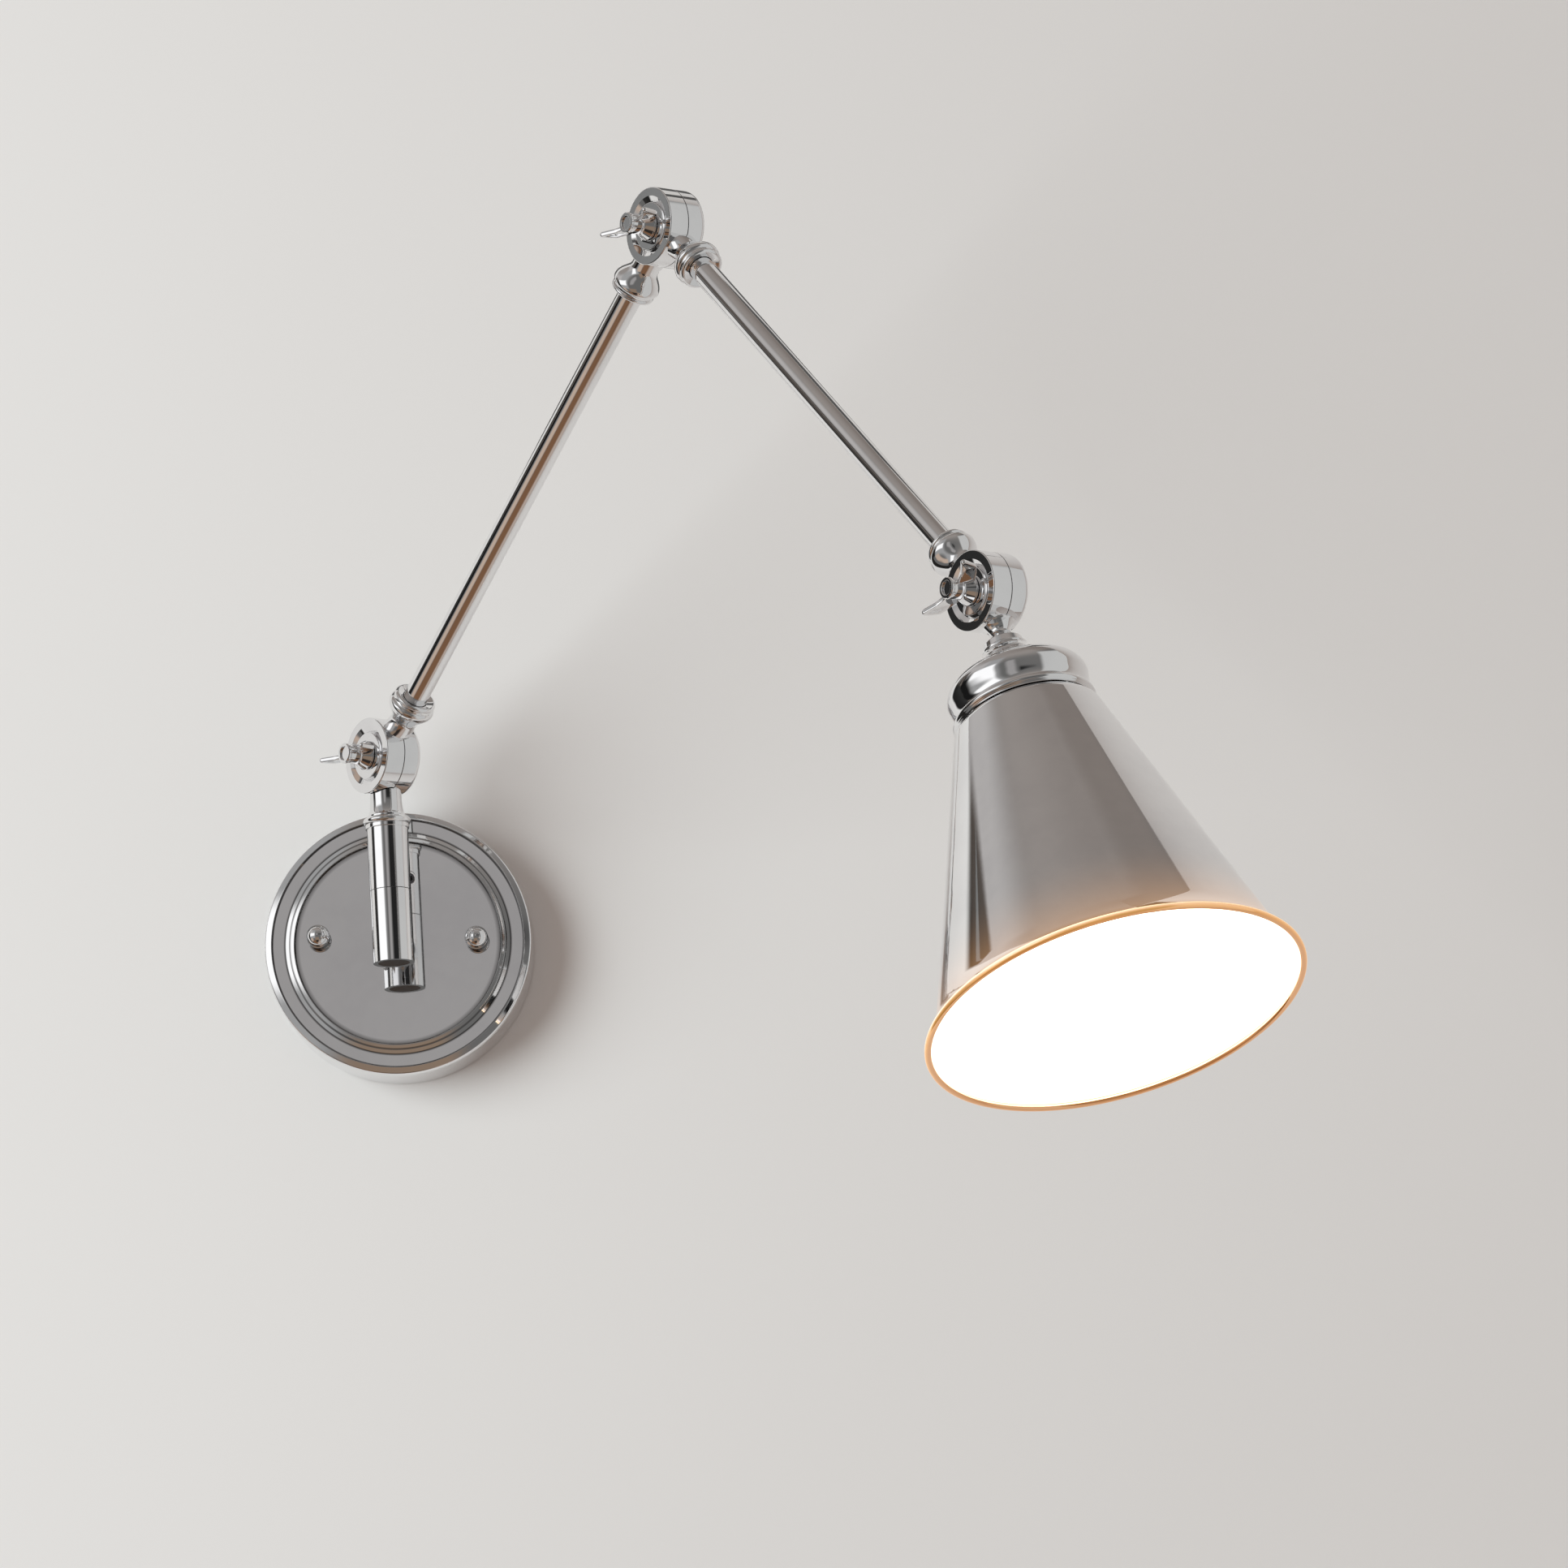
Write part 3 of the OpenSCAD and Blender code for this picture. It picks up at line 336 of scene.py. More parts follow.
def finish(name, color, dark, metallic, haze, grain, **shader):
    """A finish whose colour wanders a little between two tones, with handling haze (scale and
    two ends of roughness) and a fine grain in its normal (scale and strength)."""
    made = bpy.data.materials.new(name)
    made.use_nodes = True
    t = Tree(made.node_tree)
    surface = made.node_tree.nodes["Principled BSDF"]
    place = t.add("ShaderNodeTexCoord").outputs["Object"]
    rough = t.add("ShaderNodeGroup", node_tree=HAZE)
    t.join(place, rough.inputs["Vector"])
    for key, number in zip(("Scale", "Low", "High"), haze):
        rough.inputs[key].default_value = number
    t.join(rough.outputs["Value"], surface.inputs["Roughness"])
    t.join(t.mix(rough.outputs["Mask"], color, dark), surface.inputs["Base Color"])
    height = t.add("ShaderNodeGroup", node_tree=GRAIN)
    t.join(place, height.inputs["Vector"])
    height.inputs["Scale"].default_value = grain[0]
    bump = t.add("ShaderNodeBump")
    bump.inputs["Strength"].default_value = grain[1]
    bump.inputs["Distance"].default_value = GRAIN_DEPTH
    t.join(height.outputs["Height"], bump.inputs["Height"])
    t.join(bump.outputs["Normal"], surface.inputs["Normal"])
    surface.inputs["Metallic"].default_value = metallic
    for key, value in shader.items():
        surface.inputs[key.replace("_", " ")].default_value = value
    return made


CHROME = ((0.87, 0.87, 0.875), (0.82, 0.82, 0.83), 1.0, (22.0, 0.025, 0.06), (260.0, 0.015))
chrome = finish("polished_chrome", *CHROME)
zinc = finish("zinc_plate", (0.62, 0.63, 0.65), (0.5, 0.52, 0.55), 1.0,
              (90.0, 0.25, 0.45), (700.0, 0.2))
brass = finish("turned_brass", (0.75, 0.54, 0.22), (0.62, 0.42, 0.16), 1.0,
               (120.0, 0.16, 0.32), (900.0, 0.12))
nylon = finish("white_nylon", (0.8, 0.79, 0.75), (0.74, 0.73, 0.69), 0.0,
               (80.0, 0.35, 0.5), (900.0, 0.15))
sheath = finish("flex_sheath", (0.78, 0.77, 0.73), (0.7, 0.69, 0.65), 0.0,
                (60.0, 0.38, 0.55), (600.0, 0.15))
resin = finish("black_resin", (0.018, 0.018, 0.019), (0.028, 0.027, 0.027), 0.0,
               (70.0, 0.28, 0.46), (1100.0, 0.25))
porcelain = finish("glazed_porcelain", (0.8, 0.78, 0.72), (0.76, 0.73, 0.66), 0.0,
                   (60.0, 0.12, 0.22), (500.0, 0.08), Coat_Weight=0.4)
dark_steel = finish("blackened_steel", (0.09, 0.09, 0.1), (0.14, 0.13, 0.13), 1.0,
                    (150.0, 0.3, 0.5), (900.0, 0.2))
bulb_metal = finish("nickelled_shell", (0.66, 0.65, 0.62), (0.55, 0.54, 0.51), 1.0,
                    (120.0, 0.2, 0.35), (800.0, 0.15))


def lit_glass():
    """Opal glass of the lit bulb: it glows, warmer where it is seen edge on."""
    made = finish("lit_opal_glass", (0.9, 0.88, 0.83), (0.86, 0.84, 0.78), 0.0,
                  (40.0, 0.18, 0.3), (300.0, 0.03))
    t = Tree(made.node_tree)
    surface = made.node_tree.nodes["Principled BSDF"]
    rim = t.add("ShaderNodeLayerWeight")
    rim.inputs["Blend"].default_value = 0.3
    t.join(t.mix(rim.outputs["Facing"], (1.0, 0.93, 0.82), (1.0, 0.82, 0.6)),
           surface.inputs["Emission Color"])
    surface.inputs["Emission Strength"].default_value = 6.0
    return made


# Painted glow from the lip inwards: where it starts and is full by the inside attribute, and its
# light.
LIP_GLOW = (
    (0.05, 0.4, (0.34, 0.16, 0.035)),
    (0.4, 0.75, (0.62, 0.42, 0.14)),
    (0.7, 1.0, (1.0, 0.97, 0.9)),
)


def lit_shade():
    """Chrome outside, white enamel inside, with the bulb's light on it painted as a glow. The
    attributes say which side a face is on and how near the mouth it lies: painted glow warms the
    lip, and a painted warm tint and spill colour the last of the cone."""
    made = finish("shade_chrome_enamel_and_painted_glow", *CHROME)
    t = Tree(made.node_tree)
    surface = made.node_tree.nodes["Principled BSDF"]
    inside = t.add("ShaderNodeAttribute", attribute_name="inside").outputs["Fac"]
    near = t.add("ShaderNodeAttribute", attribute_name="near_mouth").outputs["Fac"]
    metal = surface.inputs["Base Color"].links[0].from_socket
    # Painted reflection of the glow: the metal's colour turns warm close to the mouth.
    glow_tinted = t.mix(t.fade(near, 0.95, 0.985), metal, (0.62, 0.42, 0.27))
    enamel = t.fade(inside, 0.25, 0.6)
    t.join(t.mix(enamel, glow_tinted, (0.86, 0.85, 0.82)), surface.inputs["Base Color"])
    t.join(t.math("SUBTRACT", 1.0, enamel), surface.inputs["Metallic"])
    rough = surface.inputs["Roughness"].links[0].from_socket
    t.join(t.math("ADD", rough, t.math("MULTIPLY", enamel, 0.35)), surface.inputs["Roughness"])
    # Painted glow: a warm spill of light colours the outside of the cone near the mouth.
    spill = t.math("POWER", t.fade(near, 0.7, 0.99, smooth=False), 2.0)
    glow = t.mix(spill, (0.0, 0.0, 0.0), (0.18, 0.082, 0.02))
    glow = t.mix(t.fade(near, 0.965, 0.995), glow, (0.17, 0.065, 0.018))
    for low, high, light in LIP_GLOW:
        glow = t.mix(t.fade(inside, low, high), glow, light)
    t.join(glow, surface.inputs["Emission Color"])
    surface.inputs["Emission Strength"].default_value = 1.6
    return made


def corner_shaded_chrome():
    """Chrome with painted shade: its colour falls towards near black in the corners and on the
    backs, where the attribute says so."""
    made = finish("chrome_painted_shade_in_corners", *CHROME)
    t = Tree(made.node_tree)
    surface = made.node_tree.nodes["Principled BSDF"]
    corner = t.add("ShaderNodeAttribute", attribute_name="inside").outputs["Fac"]
    clean = surface.inputs["Base Color"].links[0].from_socket
    # Painted shade: the attribute mixes the colour towards near black.
    painted_shade = t.mix(t.math("MULTIPLY", corner, 0.88), clean, (0.05, 0.046, 0.044))
    t.join(painted_shade, surface.inputs["Base Color"])
    return made


opal = lit_glass()
shade_finish = lit_shade()
shade_painted_chrome = corner_shaded_chrome()

# Wall plate and its fittings.

PLATE_CENTRE = np.zeros(3)
PLATE_FACE = 24.6
SPACING = 0.35
# Corners of the face with painted shade: distance from the centre, and how dark.
SHADED_CORNERS = ((46.1, 1), (48.42, 0.7), (50.7, 1), (56.35, 1))


def plate_line():
    """Spun plate from its centre hole out over a raised ring and the rim, down the side, and
    back along the inside. Ring and rim rise in a steep step and fall outwards in a straight
    slope. The second list is up to 1 in the narrow corners at the foot and head of a slope,
    where shade is painted."""
    corners = eased([
        (PLATE_FACE, 44.0), (PLATE_FACE, 45.9, 0.1), (26.1, 46.3, 0.35), (25.5, 48.25),
        (25.3, 48.4), (25.35, 48.6), (PLATE_FACE, 50.6, 0.5), (PLATE_FACE, 56.2, 0.1),
        (26.0, 56.5, 0.35), (24.9, 59.6, 0.9), (22.6, 60.0, 0.5), (22.0, 59.4, 0.3),
        (0.0, 59.4, 0.3), (0.0, 58.2, 0.3), (23.4, 58.2, 1.0), (23.4, 5.05, 0.1),
        (PLATE_FACE, 5.05, 0.2)], 4)
    face = PLATE_FACE - 0.1
    line = [corners[0]]
    for first, last in zip(corners[:-1], corners[1:]):
        count = 1
        if first[0] > face and 45.5 < first[1] < 57.5:
            count = max(1, int(np.linalg.norm(last - first) / SPACING))
        line += [first + (last - first) * k / count for k in range(1, count + 1)]
    line = np.array(line)
    # Painted shade in the narrow corners of the ring and rim, strongest at each listed corner.
    painted_shade = sum(np.clip(1.5 - np.abs(line[:, 1] - at) / SPACING, 0, most)
               for at, most in SHADED_CORNERS)
    return line, np.clip(painted_shade, 0, 1) * (line[:, 0] > face)


def with_painted_shade(painted_shade):
    """The two attributes of a line's points when only the first is used."""
    return np.column_stack([painted_shade, 0 * painted_shade])


spun_line, spun_corner_shade = plate_line()
spun_plate = turned(spun_line, PLATE_CENTRE, ROOM, RIGHT, 256, tag=with_painted_shade(spun_corner_shade))
piece("spun_plate", "wall_mount", [spun_plate], shade_painted_chrome, ["wall_plate"])

# The two studs lie a little above the plate's middle, on a line turned a little about it.
PLATE_TURN = math.radians(4.2)
STUD_OUT, STUD_UP = 35.5, 1.8
STUDS = [
    np.array([x * math.cos(PLATE_TURN) + STUD_UP * math.sin(PLATE_TURN), 0,
              STUD_UP * math.cos(PLATE_TURN) - x * math.sin(PLATE_TURN)])
    for x in (-STUD_OUT, STUD_OUT)]

ball_line = np.concatenate([
    [(29.9, 0.0)],
    eased([(29.9, 2.55), (PLATE_FACE, 2.55, 0.1), (PLATE_FACE, 3.4, 0.1), (25.4, 3.4)],
          loop=False),
    arc(29.45, 0.0, 5.25, 5.25, -49.6, 90, 22)])
# Painted shade on the back of each ball, darker towards the plate.
ball_back_shade = with_painted_shade(np.clip((28.4 - ball_line[:, 0]) / 1.4, 0, 1) * (ball_line[:, 1] > 0))
ball_nuts = [turned(ball_line, at, ROOM, RIGHT, 64, loop=False, tag=ball_back_shade) for at in STUDS]
piece("ball_nut_pair", "wall_mount", ball_nuts, shade_painted_chrome, ["ball_nuts"])

SLEEVE_CUT = 9.25


def sleeve_shell(around=96):
    """Sleeve on the stub: a tube whose far end is cut by the post, so its height there is
    53 - sqrt(9.25 squared - sideways squared)."""
    a = np.linspace(0, 2 * math.pi, around, endpoint=False)
    rows = []
    for radius, end in ((5.05, 0), (6.8, 0), (7.0, 0.2), (7.0, 1), (5.05, 1)):
        x = radius * np.cos(a)
        height = PLATE_FACE + end if end < 1 else POST_OUT - np.sqrt(SLEEVE_CUT**2 - x**2)
        rows.append(np.column_stack([x, -np.broadcast_to(height, x.shape), radius * np.sin(a)]))
    return shell(rows, True)


piece("plain_sleeve", "wall_mount", [sleeve_shell()], chrome, ["stub_sleeve"])
smoothed_copy("fixed_barrel", "wall_mount", "lower_barrel", chrome)
smoothed_copy("turning_barrel", "swivel_post", "upper_barrel", chrome)
collar_line = np.concatenate([
    eased([(46.0, 7.5), (46.0, 9.8, 0.2), (47.8, 9.8, 0.2), (47.8, 9.5)], loop=False),
    arc(49.4, 9.1, 1.6, 1.6, -66, 90, 14), eased([(51.0, 9.0), (51.0, 7.5)], loop=False)])
piece("beaded_collar", "swivel_post", [turned(collar_line, POST_FOOT, UP, RIGHT)],
      chrome, ["post_collar"])

# Knuckles.

# Lines about the pivot: half the seam, the drum's radius, its outer face and the washer's seat.
SEAM, DRUM, DRUM_FACE, SEAT = 0.15, 17.0, 9.3, 7.9
FRONT_DRUM = eased([
    (SEAM, 3.06), (SEAM, DRUM, 0.12), (DRUM_FACE, DRUM, 0.5), (DRUM_FACE, 13.2, 0.12),
    (SEAT, 10.6, 0.1), (SEAT, 3.06)])
BACK_DRUM = eased([
    (SEAM, 3.05), (SEAM, DRUM, 0.12), (DRUM_FACE, DRUM, 2.5), (DRUM_FACE, 6.0, 0.25),
    (5.7, 6.0, 0.1), (5.7, 3.05)])
FACE_WASHER = eased([(SEAT, 3.26, 0.05), (SEAT, 10.4, 0.1), (9.1, 10.4, 0.35), (9.1, 3.26, 0.3)])

# Stems: how near the pivot their foot comes on their own half and on the other, where the
# foot starts to widen, and over what length.
OWN_REACH, OTHER_REACH = 16.5, 17.3
FOOT_TOP, FOOT_LONG = 21.4, 5.4
FOOT_WIDER = 0.36


def drum(centre, front):
    """Half of a knuckle's drum, turned about the pivot on its own side of the seam."""
    line, axis = (FRONT_DRUM, -PIVOT) if front else (BACK_DRUM, PIVOT)
    return turned(line, centre, axis, ALONG, 160)


def stem(line, centre, axis, front, around=128, widen=0.0):
    """A line turned about a link, whose foot sits on its own half of the drum and stands
    clear of the other: along the link no point comes nearer the pivot than
    sqrt(reach squared - sideways squared), with a longer reach on the other half. On its own
    half the foot widens along the pivot with the square of the distance below its top."""
    line = np.asarray(line, float)
    across = np.cross(axis, PIVOT)
    a = np.linspace(0, 2 * math.pi, around, endpoint=False)
    y = line[:, 1:] * np.cos(a)
    z = line[:, 1:] * np.sin(a)
    own = y < 0 if front else y > 0
    swell = np.clip((FOOT_TOP - line[:, :1]) / FOOT_LONG, 0, 1) ** 2
    y = np.where(own, y * (1 + widen * swell), y)
    reach = np.sqrt(np.maximum(np.where(own, OWN_REACH, OTHER_REACH) ** 2 - z**2, 0))
    s = np.maximum(line[:, :1], reach)
    rows = centre + s[..., None] * axis + y[..., None] * PIVOT + z[..., None] * across
    return shell(rows)


def foot_rows(radius):
    """Rows that close the foot of a stem, from its axis to its radius."""
    return [(12.0, r) for r in np.linspace(0, radius, 7)]


def socket_line():
    """Neck, a soft swell whose radius rises with a cosine to a broad bead, a groove, a rim
    bead, and a shallow dish where the tube goes in."""
    t = np.linspace(0, 1, 22)
    swell = np.column_stack([21.4 + 9.0 * t, 6.2 + 2.15 * (1 - np.cos(math.pi * t))])
    bead = arc(30.4, 9.0, 1.7, 1.5, 9, 84, 10)
    rim = arc(34.2, 8.5, 1.1, 1.2, -70, 100, 16)
    dish = [(34.9, 7.6), (34.4, 6.6), (34.15, 5.9), (34.1, 5.55)]
    neck = [(s, 6.2) for s in (15.0, 16.4, 18.0, 20.0)]
    bore = [(24.3, 5.55), (24.3, 0.0)]
    return np.concatenate([foot_rows(6.2), neck, swell, bead, rim, dish, bore])


def post_neck_line():
    """Neck of the shoulder: it flares to a thin flange, with the spigot below."""
    a = np.radians(np.linspace(0, 90, 12))
    flare = np.column_stack([19.5 + 7.6 * np.sin(a), 7.1 + 1.7 * (1 - np.cos(a))])
    spigot = eased([(27.3, 8.8), (28.0, 8.8, 0.2), (28.0, 7.45, 0.05), (38.0, 7.45, 0.3),
                    (38.0, 0.0)], loop=False)
    return np.concatenate([foot_rows(7.1), [(16.0, 7.1), (18.0, 7.1)], flare, spigot])


def shade_neck_line():
    """Waisted neck that carries the shade: its radius falls and rises with the square of the
    distance from the waist."""
    t = np.linspace(0, 1, 20)
    flare = np.where(t < 0.5, 1, 0.65)
    waist = np.column_stack([16.3 + 8.2 * t, 4.7 + 2.7 * (1 - 2 * t) ** 2 * flare])
    spigot = [(24.5, 5.0), (25.0, 5.0), (40.5, 5.0), (40.8, 4.7), (40.8, 0.0)]
    return np.concatenate([foot_rows(7.4), waist, spigot])


SOCKET = socket_line()
piece("shoulder_back", "swivel_post",
      [drum(SHOULDER, False), stem(post_neck_line(), SHOULDER, -UP, False)],
      chrome, ["shoulder_back_half"])
for name, body, centre, link, front, node in (
        ("shoulder_front", "lower_arm", SHOULDER, LOWER, True, "shoulder_front_half"),
        ("elbow_back", "lower_arm", ELBOW, -LOWER, False, "elbow_back_half"),
        ("elbow_front", "upper_arm", ELBOW, UPPER, True, "elbow_front_half"),
        ("head_back", "upper_arm", HEAD, -UPPER, False, "head_back_half")):
    piece(name, body, [drum(centre, front), stem(SOCKET, centre, link, front, widen=FOOT_WIDER)],
          chrome, [node])
piece("head_front", "shade_head", [drum(HEAD, True), stem(shade_neck_line(), HEAD, SHADE, True)],
      chrome, ["head_front_half"])
for joint, centre, body in (
        ("shoulder", SHOULDER, "lower_arm"),
        ("elbow", ELBOW, "upper_arm"),
        ("head", HEAD, "shade_head")):
    piece(joint + "_dished_washer", body, [turned(FACE_WASHER, centre, -PIVOT, ALONG)],
          chrome, [joint + "_face_washer"])

# Wing nuts.

HUB = eased([
    (0.1, 3.06, 0.1), (0.1, 6.55, 0.3), (1.2, 6.55, 0.5), (5.0, 4.25, 2.5), (10.5, 4.25, 0.3),
    (11.0, 4.65, 0.2), (11.8, 4.65, 0.2), (12.2, 4.25, 0.15), (12.2, 3.06, 0.3)])
WING = eased([
    (1.2, 3.5), (1.6, 6.55, 1.5), (3.8, 11.8, 3.0), (6.0, 15.4, 2.0), (13.3, 17.3, 0.6),
    (14.7, 16.4, 1.2), (10.8, 10.2, 4.0), (8.6, 3.5)], steps=7)
WING_MIDDLE = np.array([9.6, 12.4])
THUMB_DISH, EDGE_START = 0.55, 0.86


def wing_shell(out, side, up, centre):
    """One wing: its outline, drawn in towards its middle as it leaves the middle plane, so
    that its edge is a half round. Each face sinks into a shallow dish for the thumb, by the
    square of a cosine."""
    rows = []
    for face in (1, -1):
        dish = [(face * (1.0 - THUMB_DISH * math.cos(math.pi / 2 * t) ** 2), t * EDGE_START)
                for t in np.linspace(0, 1, 8)]
        edge = [(math.sin(a), 0.9 + 0.1 * math.cos(a))
                for a in np.radians(np.linspace(78 * face, 12 * face, 6))]
        half = dish + edge
        rows += half if face > 0 else half[::-1]
    grid = []
    for height, spread in rows:
        line = WING_MIDDLE + (WING - WING_MIDDLE) * spread
        grid.append(centre + line[:, :1] * up + line[:, 1:] * out + height * side)
    return shell(grid)


def wing_nut(name, body, node, pivot, turn):
    """A wing nut on the front face of a knuckle, its wings turned so far above level."""
    a = math.radians(turn)
    out = math.cos(a) * ALONG + math.sin(a) * UP
    side = np.cross(-PIVOT, out)
    face = pivot - DRUM_FACE * PIVOT
    parts = [turned(HUB, face, -PIVOT, out, 64)]
    parts += [wing_shell(s * out, side, -PIVOT, face) for s in (-1, 1)]
    piece(name, body, parts, chrome, [node])


wing_nut("shoulder_wings", "shoulder_wing_nut", "shoulder_wing_nut", SHOULDER, 0)
wing_nut("elbow_wings", "elbow_wing_nut", "elbow_wing_nut", ELBOW, 5)
wing_nut("head_wings", "head_wing_nut", "head_wing_nut", HEAD, 27)

# Arm tubes.

TUBE_RADIUS, TUBE_BORE, TUBE_START = 5.5, 4.5, 24.3
TUBE = ([(TUBE_START, TUBE_BORE)]
        + [(s, TUBE_RADIUS) for s in (TUBE_START, 100.0, 200.0, ARM - TUBE_START)]
        + [(s, TUBE_BORE) for s in (ARM - TUBE_START, 200.0, 100.0)])
piece("lower_arm_tube", "lower_arm", [turned(TUBE, SHOULDER, LOWER, PIVOT, 128)],
      chrome, ["lower_tube"])
piece("upper_arm_tube", "upper_arm", [turned(TUBE, ELBOW, UPPER, PIVOT, 128)],
      chrome, ["upper_tube"])

# Shade head.


def inset(line, wall):
    """A line moved in by a wall, square to its own slope."""
    slope = np.gradient(line, axis=0)
    slope /= np.linalg.norm(slope, axis=1)[:, None]
    return line + wall * np.column_stack([slope[:, 1], -slope[:, 0]])


waist_line = eased([
    (24.5, 5.05, 0.1), (24.5, 8.2, 0.7), (27.9, 8.6, 0.5), (27.9, 9.8, 0.5), (29.5, 9.8, 0.5),
    (29.5, 5.05, 0.1)])
piece("waist_collar", "shade_head", [turned(waist_line, HEAD, SHADE, PIVOT)],
      chrome, ["cap_collar"])

CAP_WALL, SHADE_WALL = 1.1, 1.0
SHADE_TOP, SHADE_LONG = 61.5, 140.5


def cap_shell():
    """Spun cap: a foot that sweeps out with the 0.75 power of its height, a full bulge, a
    hollow groove and a bead at the rim, with a wall of even thickness."""
    t = np.linspace(0, 1, 24)
    sweep = np.column_stack([29.5 + 13.064 * t**0.75, 10.2 + 16.509 * t])
    bulge = arc(48.5, 23.0, 7.0, 7.0, -54, 12, 20)
    groove = flowing([(50.0, 29.85), (53.0, 29.1), (55.3, 28.45), (56.9, 28.3), (57.8, 28.75),
                      (58.2, 29.5)])[1:]
    bead = arc(59.4, 28.8, 1.6, 1.7, -40, 60, 14)
    outer = np.concatenate([[(29.5, 5.05), (29.5, 8.0)], sweep, bulge, groove, bead,
                            [(61.7, 29.2)]])
    inner = inset(outer, CAP_WALL)[::-1]
    return turned(np.concatenate([outer, inner]), HEAD, SHADE, PIVOT, 192)


piece("domed_cap", "shade_head", [cap_shell()], chrome, ["shade_cap"])


def shade_shell():
    """Spun cone: shoulder arc, straight side, a flare whose slope grows steadily, and a lip
    rolled round a circle. The inner skin follows the outer one at the sheet's thickness. The
    first attribute rises from 0 to 1 round the lip, the second from the top to the mouth."""
    shoulder = arc(67.7, 26.05, 6.2, 6.2, -90, -18.1, 18)
    side = np.column_stack([np.linspace(65.8, 189.5, 30), np.linspace(31.95, 72.3, 30)])[1:]
    t = np.linspace(0, 0.9, 14)[1:]
    flare = np.column_stack([189.5 + 11 * t, 72.3 + 6.2 * t * (0.56 + 0.44 * t)])
    outer = np.concatenate([[(SHADE_TOP, 19.3), (SHADE_TOP, 22.0)], shoulder, side, flare])
    lip = arc(200.5, 78.5, 1.5, 1.5, 236, -180, 26)[:-3]
    skin = inset(outer, SHADE_WALL)[::-1][1:]
    line = np.concatenate([outer, lip, skin])
    n, k = len(outer), len(lip)
    inner = np.clip((np.arange(len(line)) - n - 0.35 * k) / (0.62 * k), 0, 1)
    near = (line[:, 0] - SHADE_TOP) / SHADE_LONG
    return turned(line, HEAD, SHADE, PIVOT, 256, tag=np.column_stack([inner, near]))


piece("spun_shade", "shade_head", [shade_shell()], shade_finish, ["shade"])

# Finishes of the nodes that keep their CAD shape.

KEPT = {
    zinc: ["mounting_bracket", "bracket_studs", "stud_lock_nuts", "nipple_washer",
           "swivel_spindle"],
    brass: ["stub_nipple", "nipple_lock_nut", "terminal_screws", "earth_screw", "cap_nut",
            "holder_screw_shell", "centre_contact"],
    nylon: ["swivel_washer", "terminal_block", "shoulder_friction_washer",
            "elbow_friction_washer", "head_friction_washer"],
    sheath: ["inlet_flex", "post_flex", "lower_arm_flex", "upper_arm_flex", "head_flex"],
    resin: ["lampholder_shell", "shade_ring"],
    porcelain: ["lampholder_insulator"],
    dark_steel: ["lower_set_screw", "upper_set_screw", "barrel_end_plug"],
    chrome: ["shoulder_bolt", "elbow_bolt", "head_bolt"],
    bulb_metal: ["bulb_cap"],
    opal: ["bulb_globe"],
}
for material, names in KEPT.items():
    for name in names:
        slots = frame["nodes"][name].data.materials
        slots.clear()
        slots.append(material)

# Wall, light and camera, in metres.

WALL_HOLE, WALL_RADIUS, WALL_BACK, WALL_SIDES = 0.056, 5.0, 0.0003, 64
# Tones that only mirrors see on the wall: middle across and up, half width and height, tone.
WALL_CARDS = (
    (-1.36, 0.46, 0.25, 0.2, 0.008),
    (-0.72, 0.516, 0.09, 0.09, 0.2),
    (0.1, 0.395, 0.2, 0.125, 0.13),
    (0.42, 0.9, 0.08, 0.3, 0.12),
)


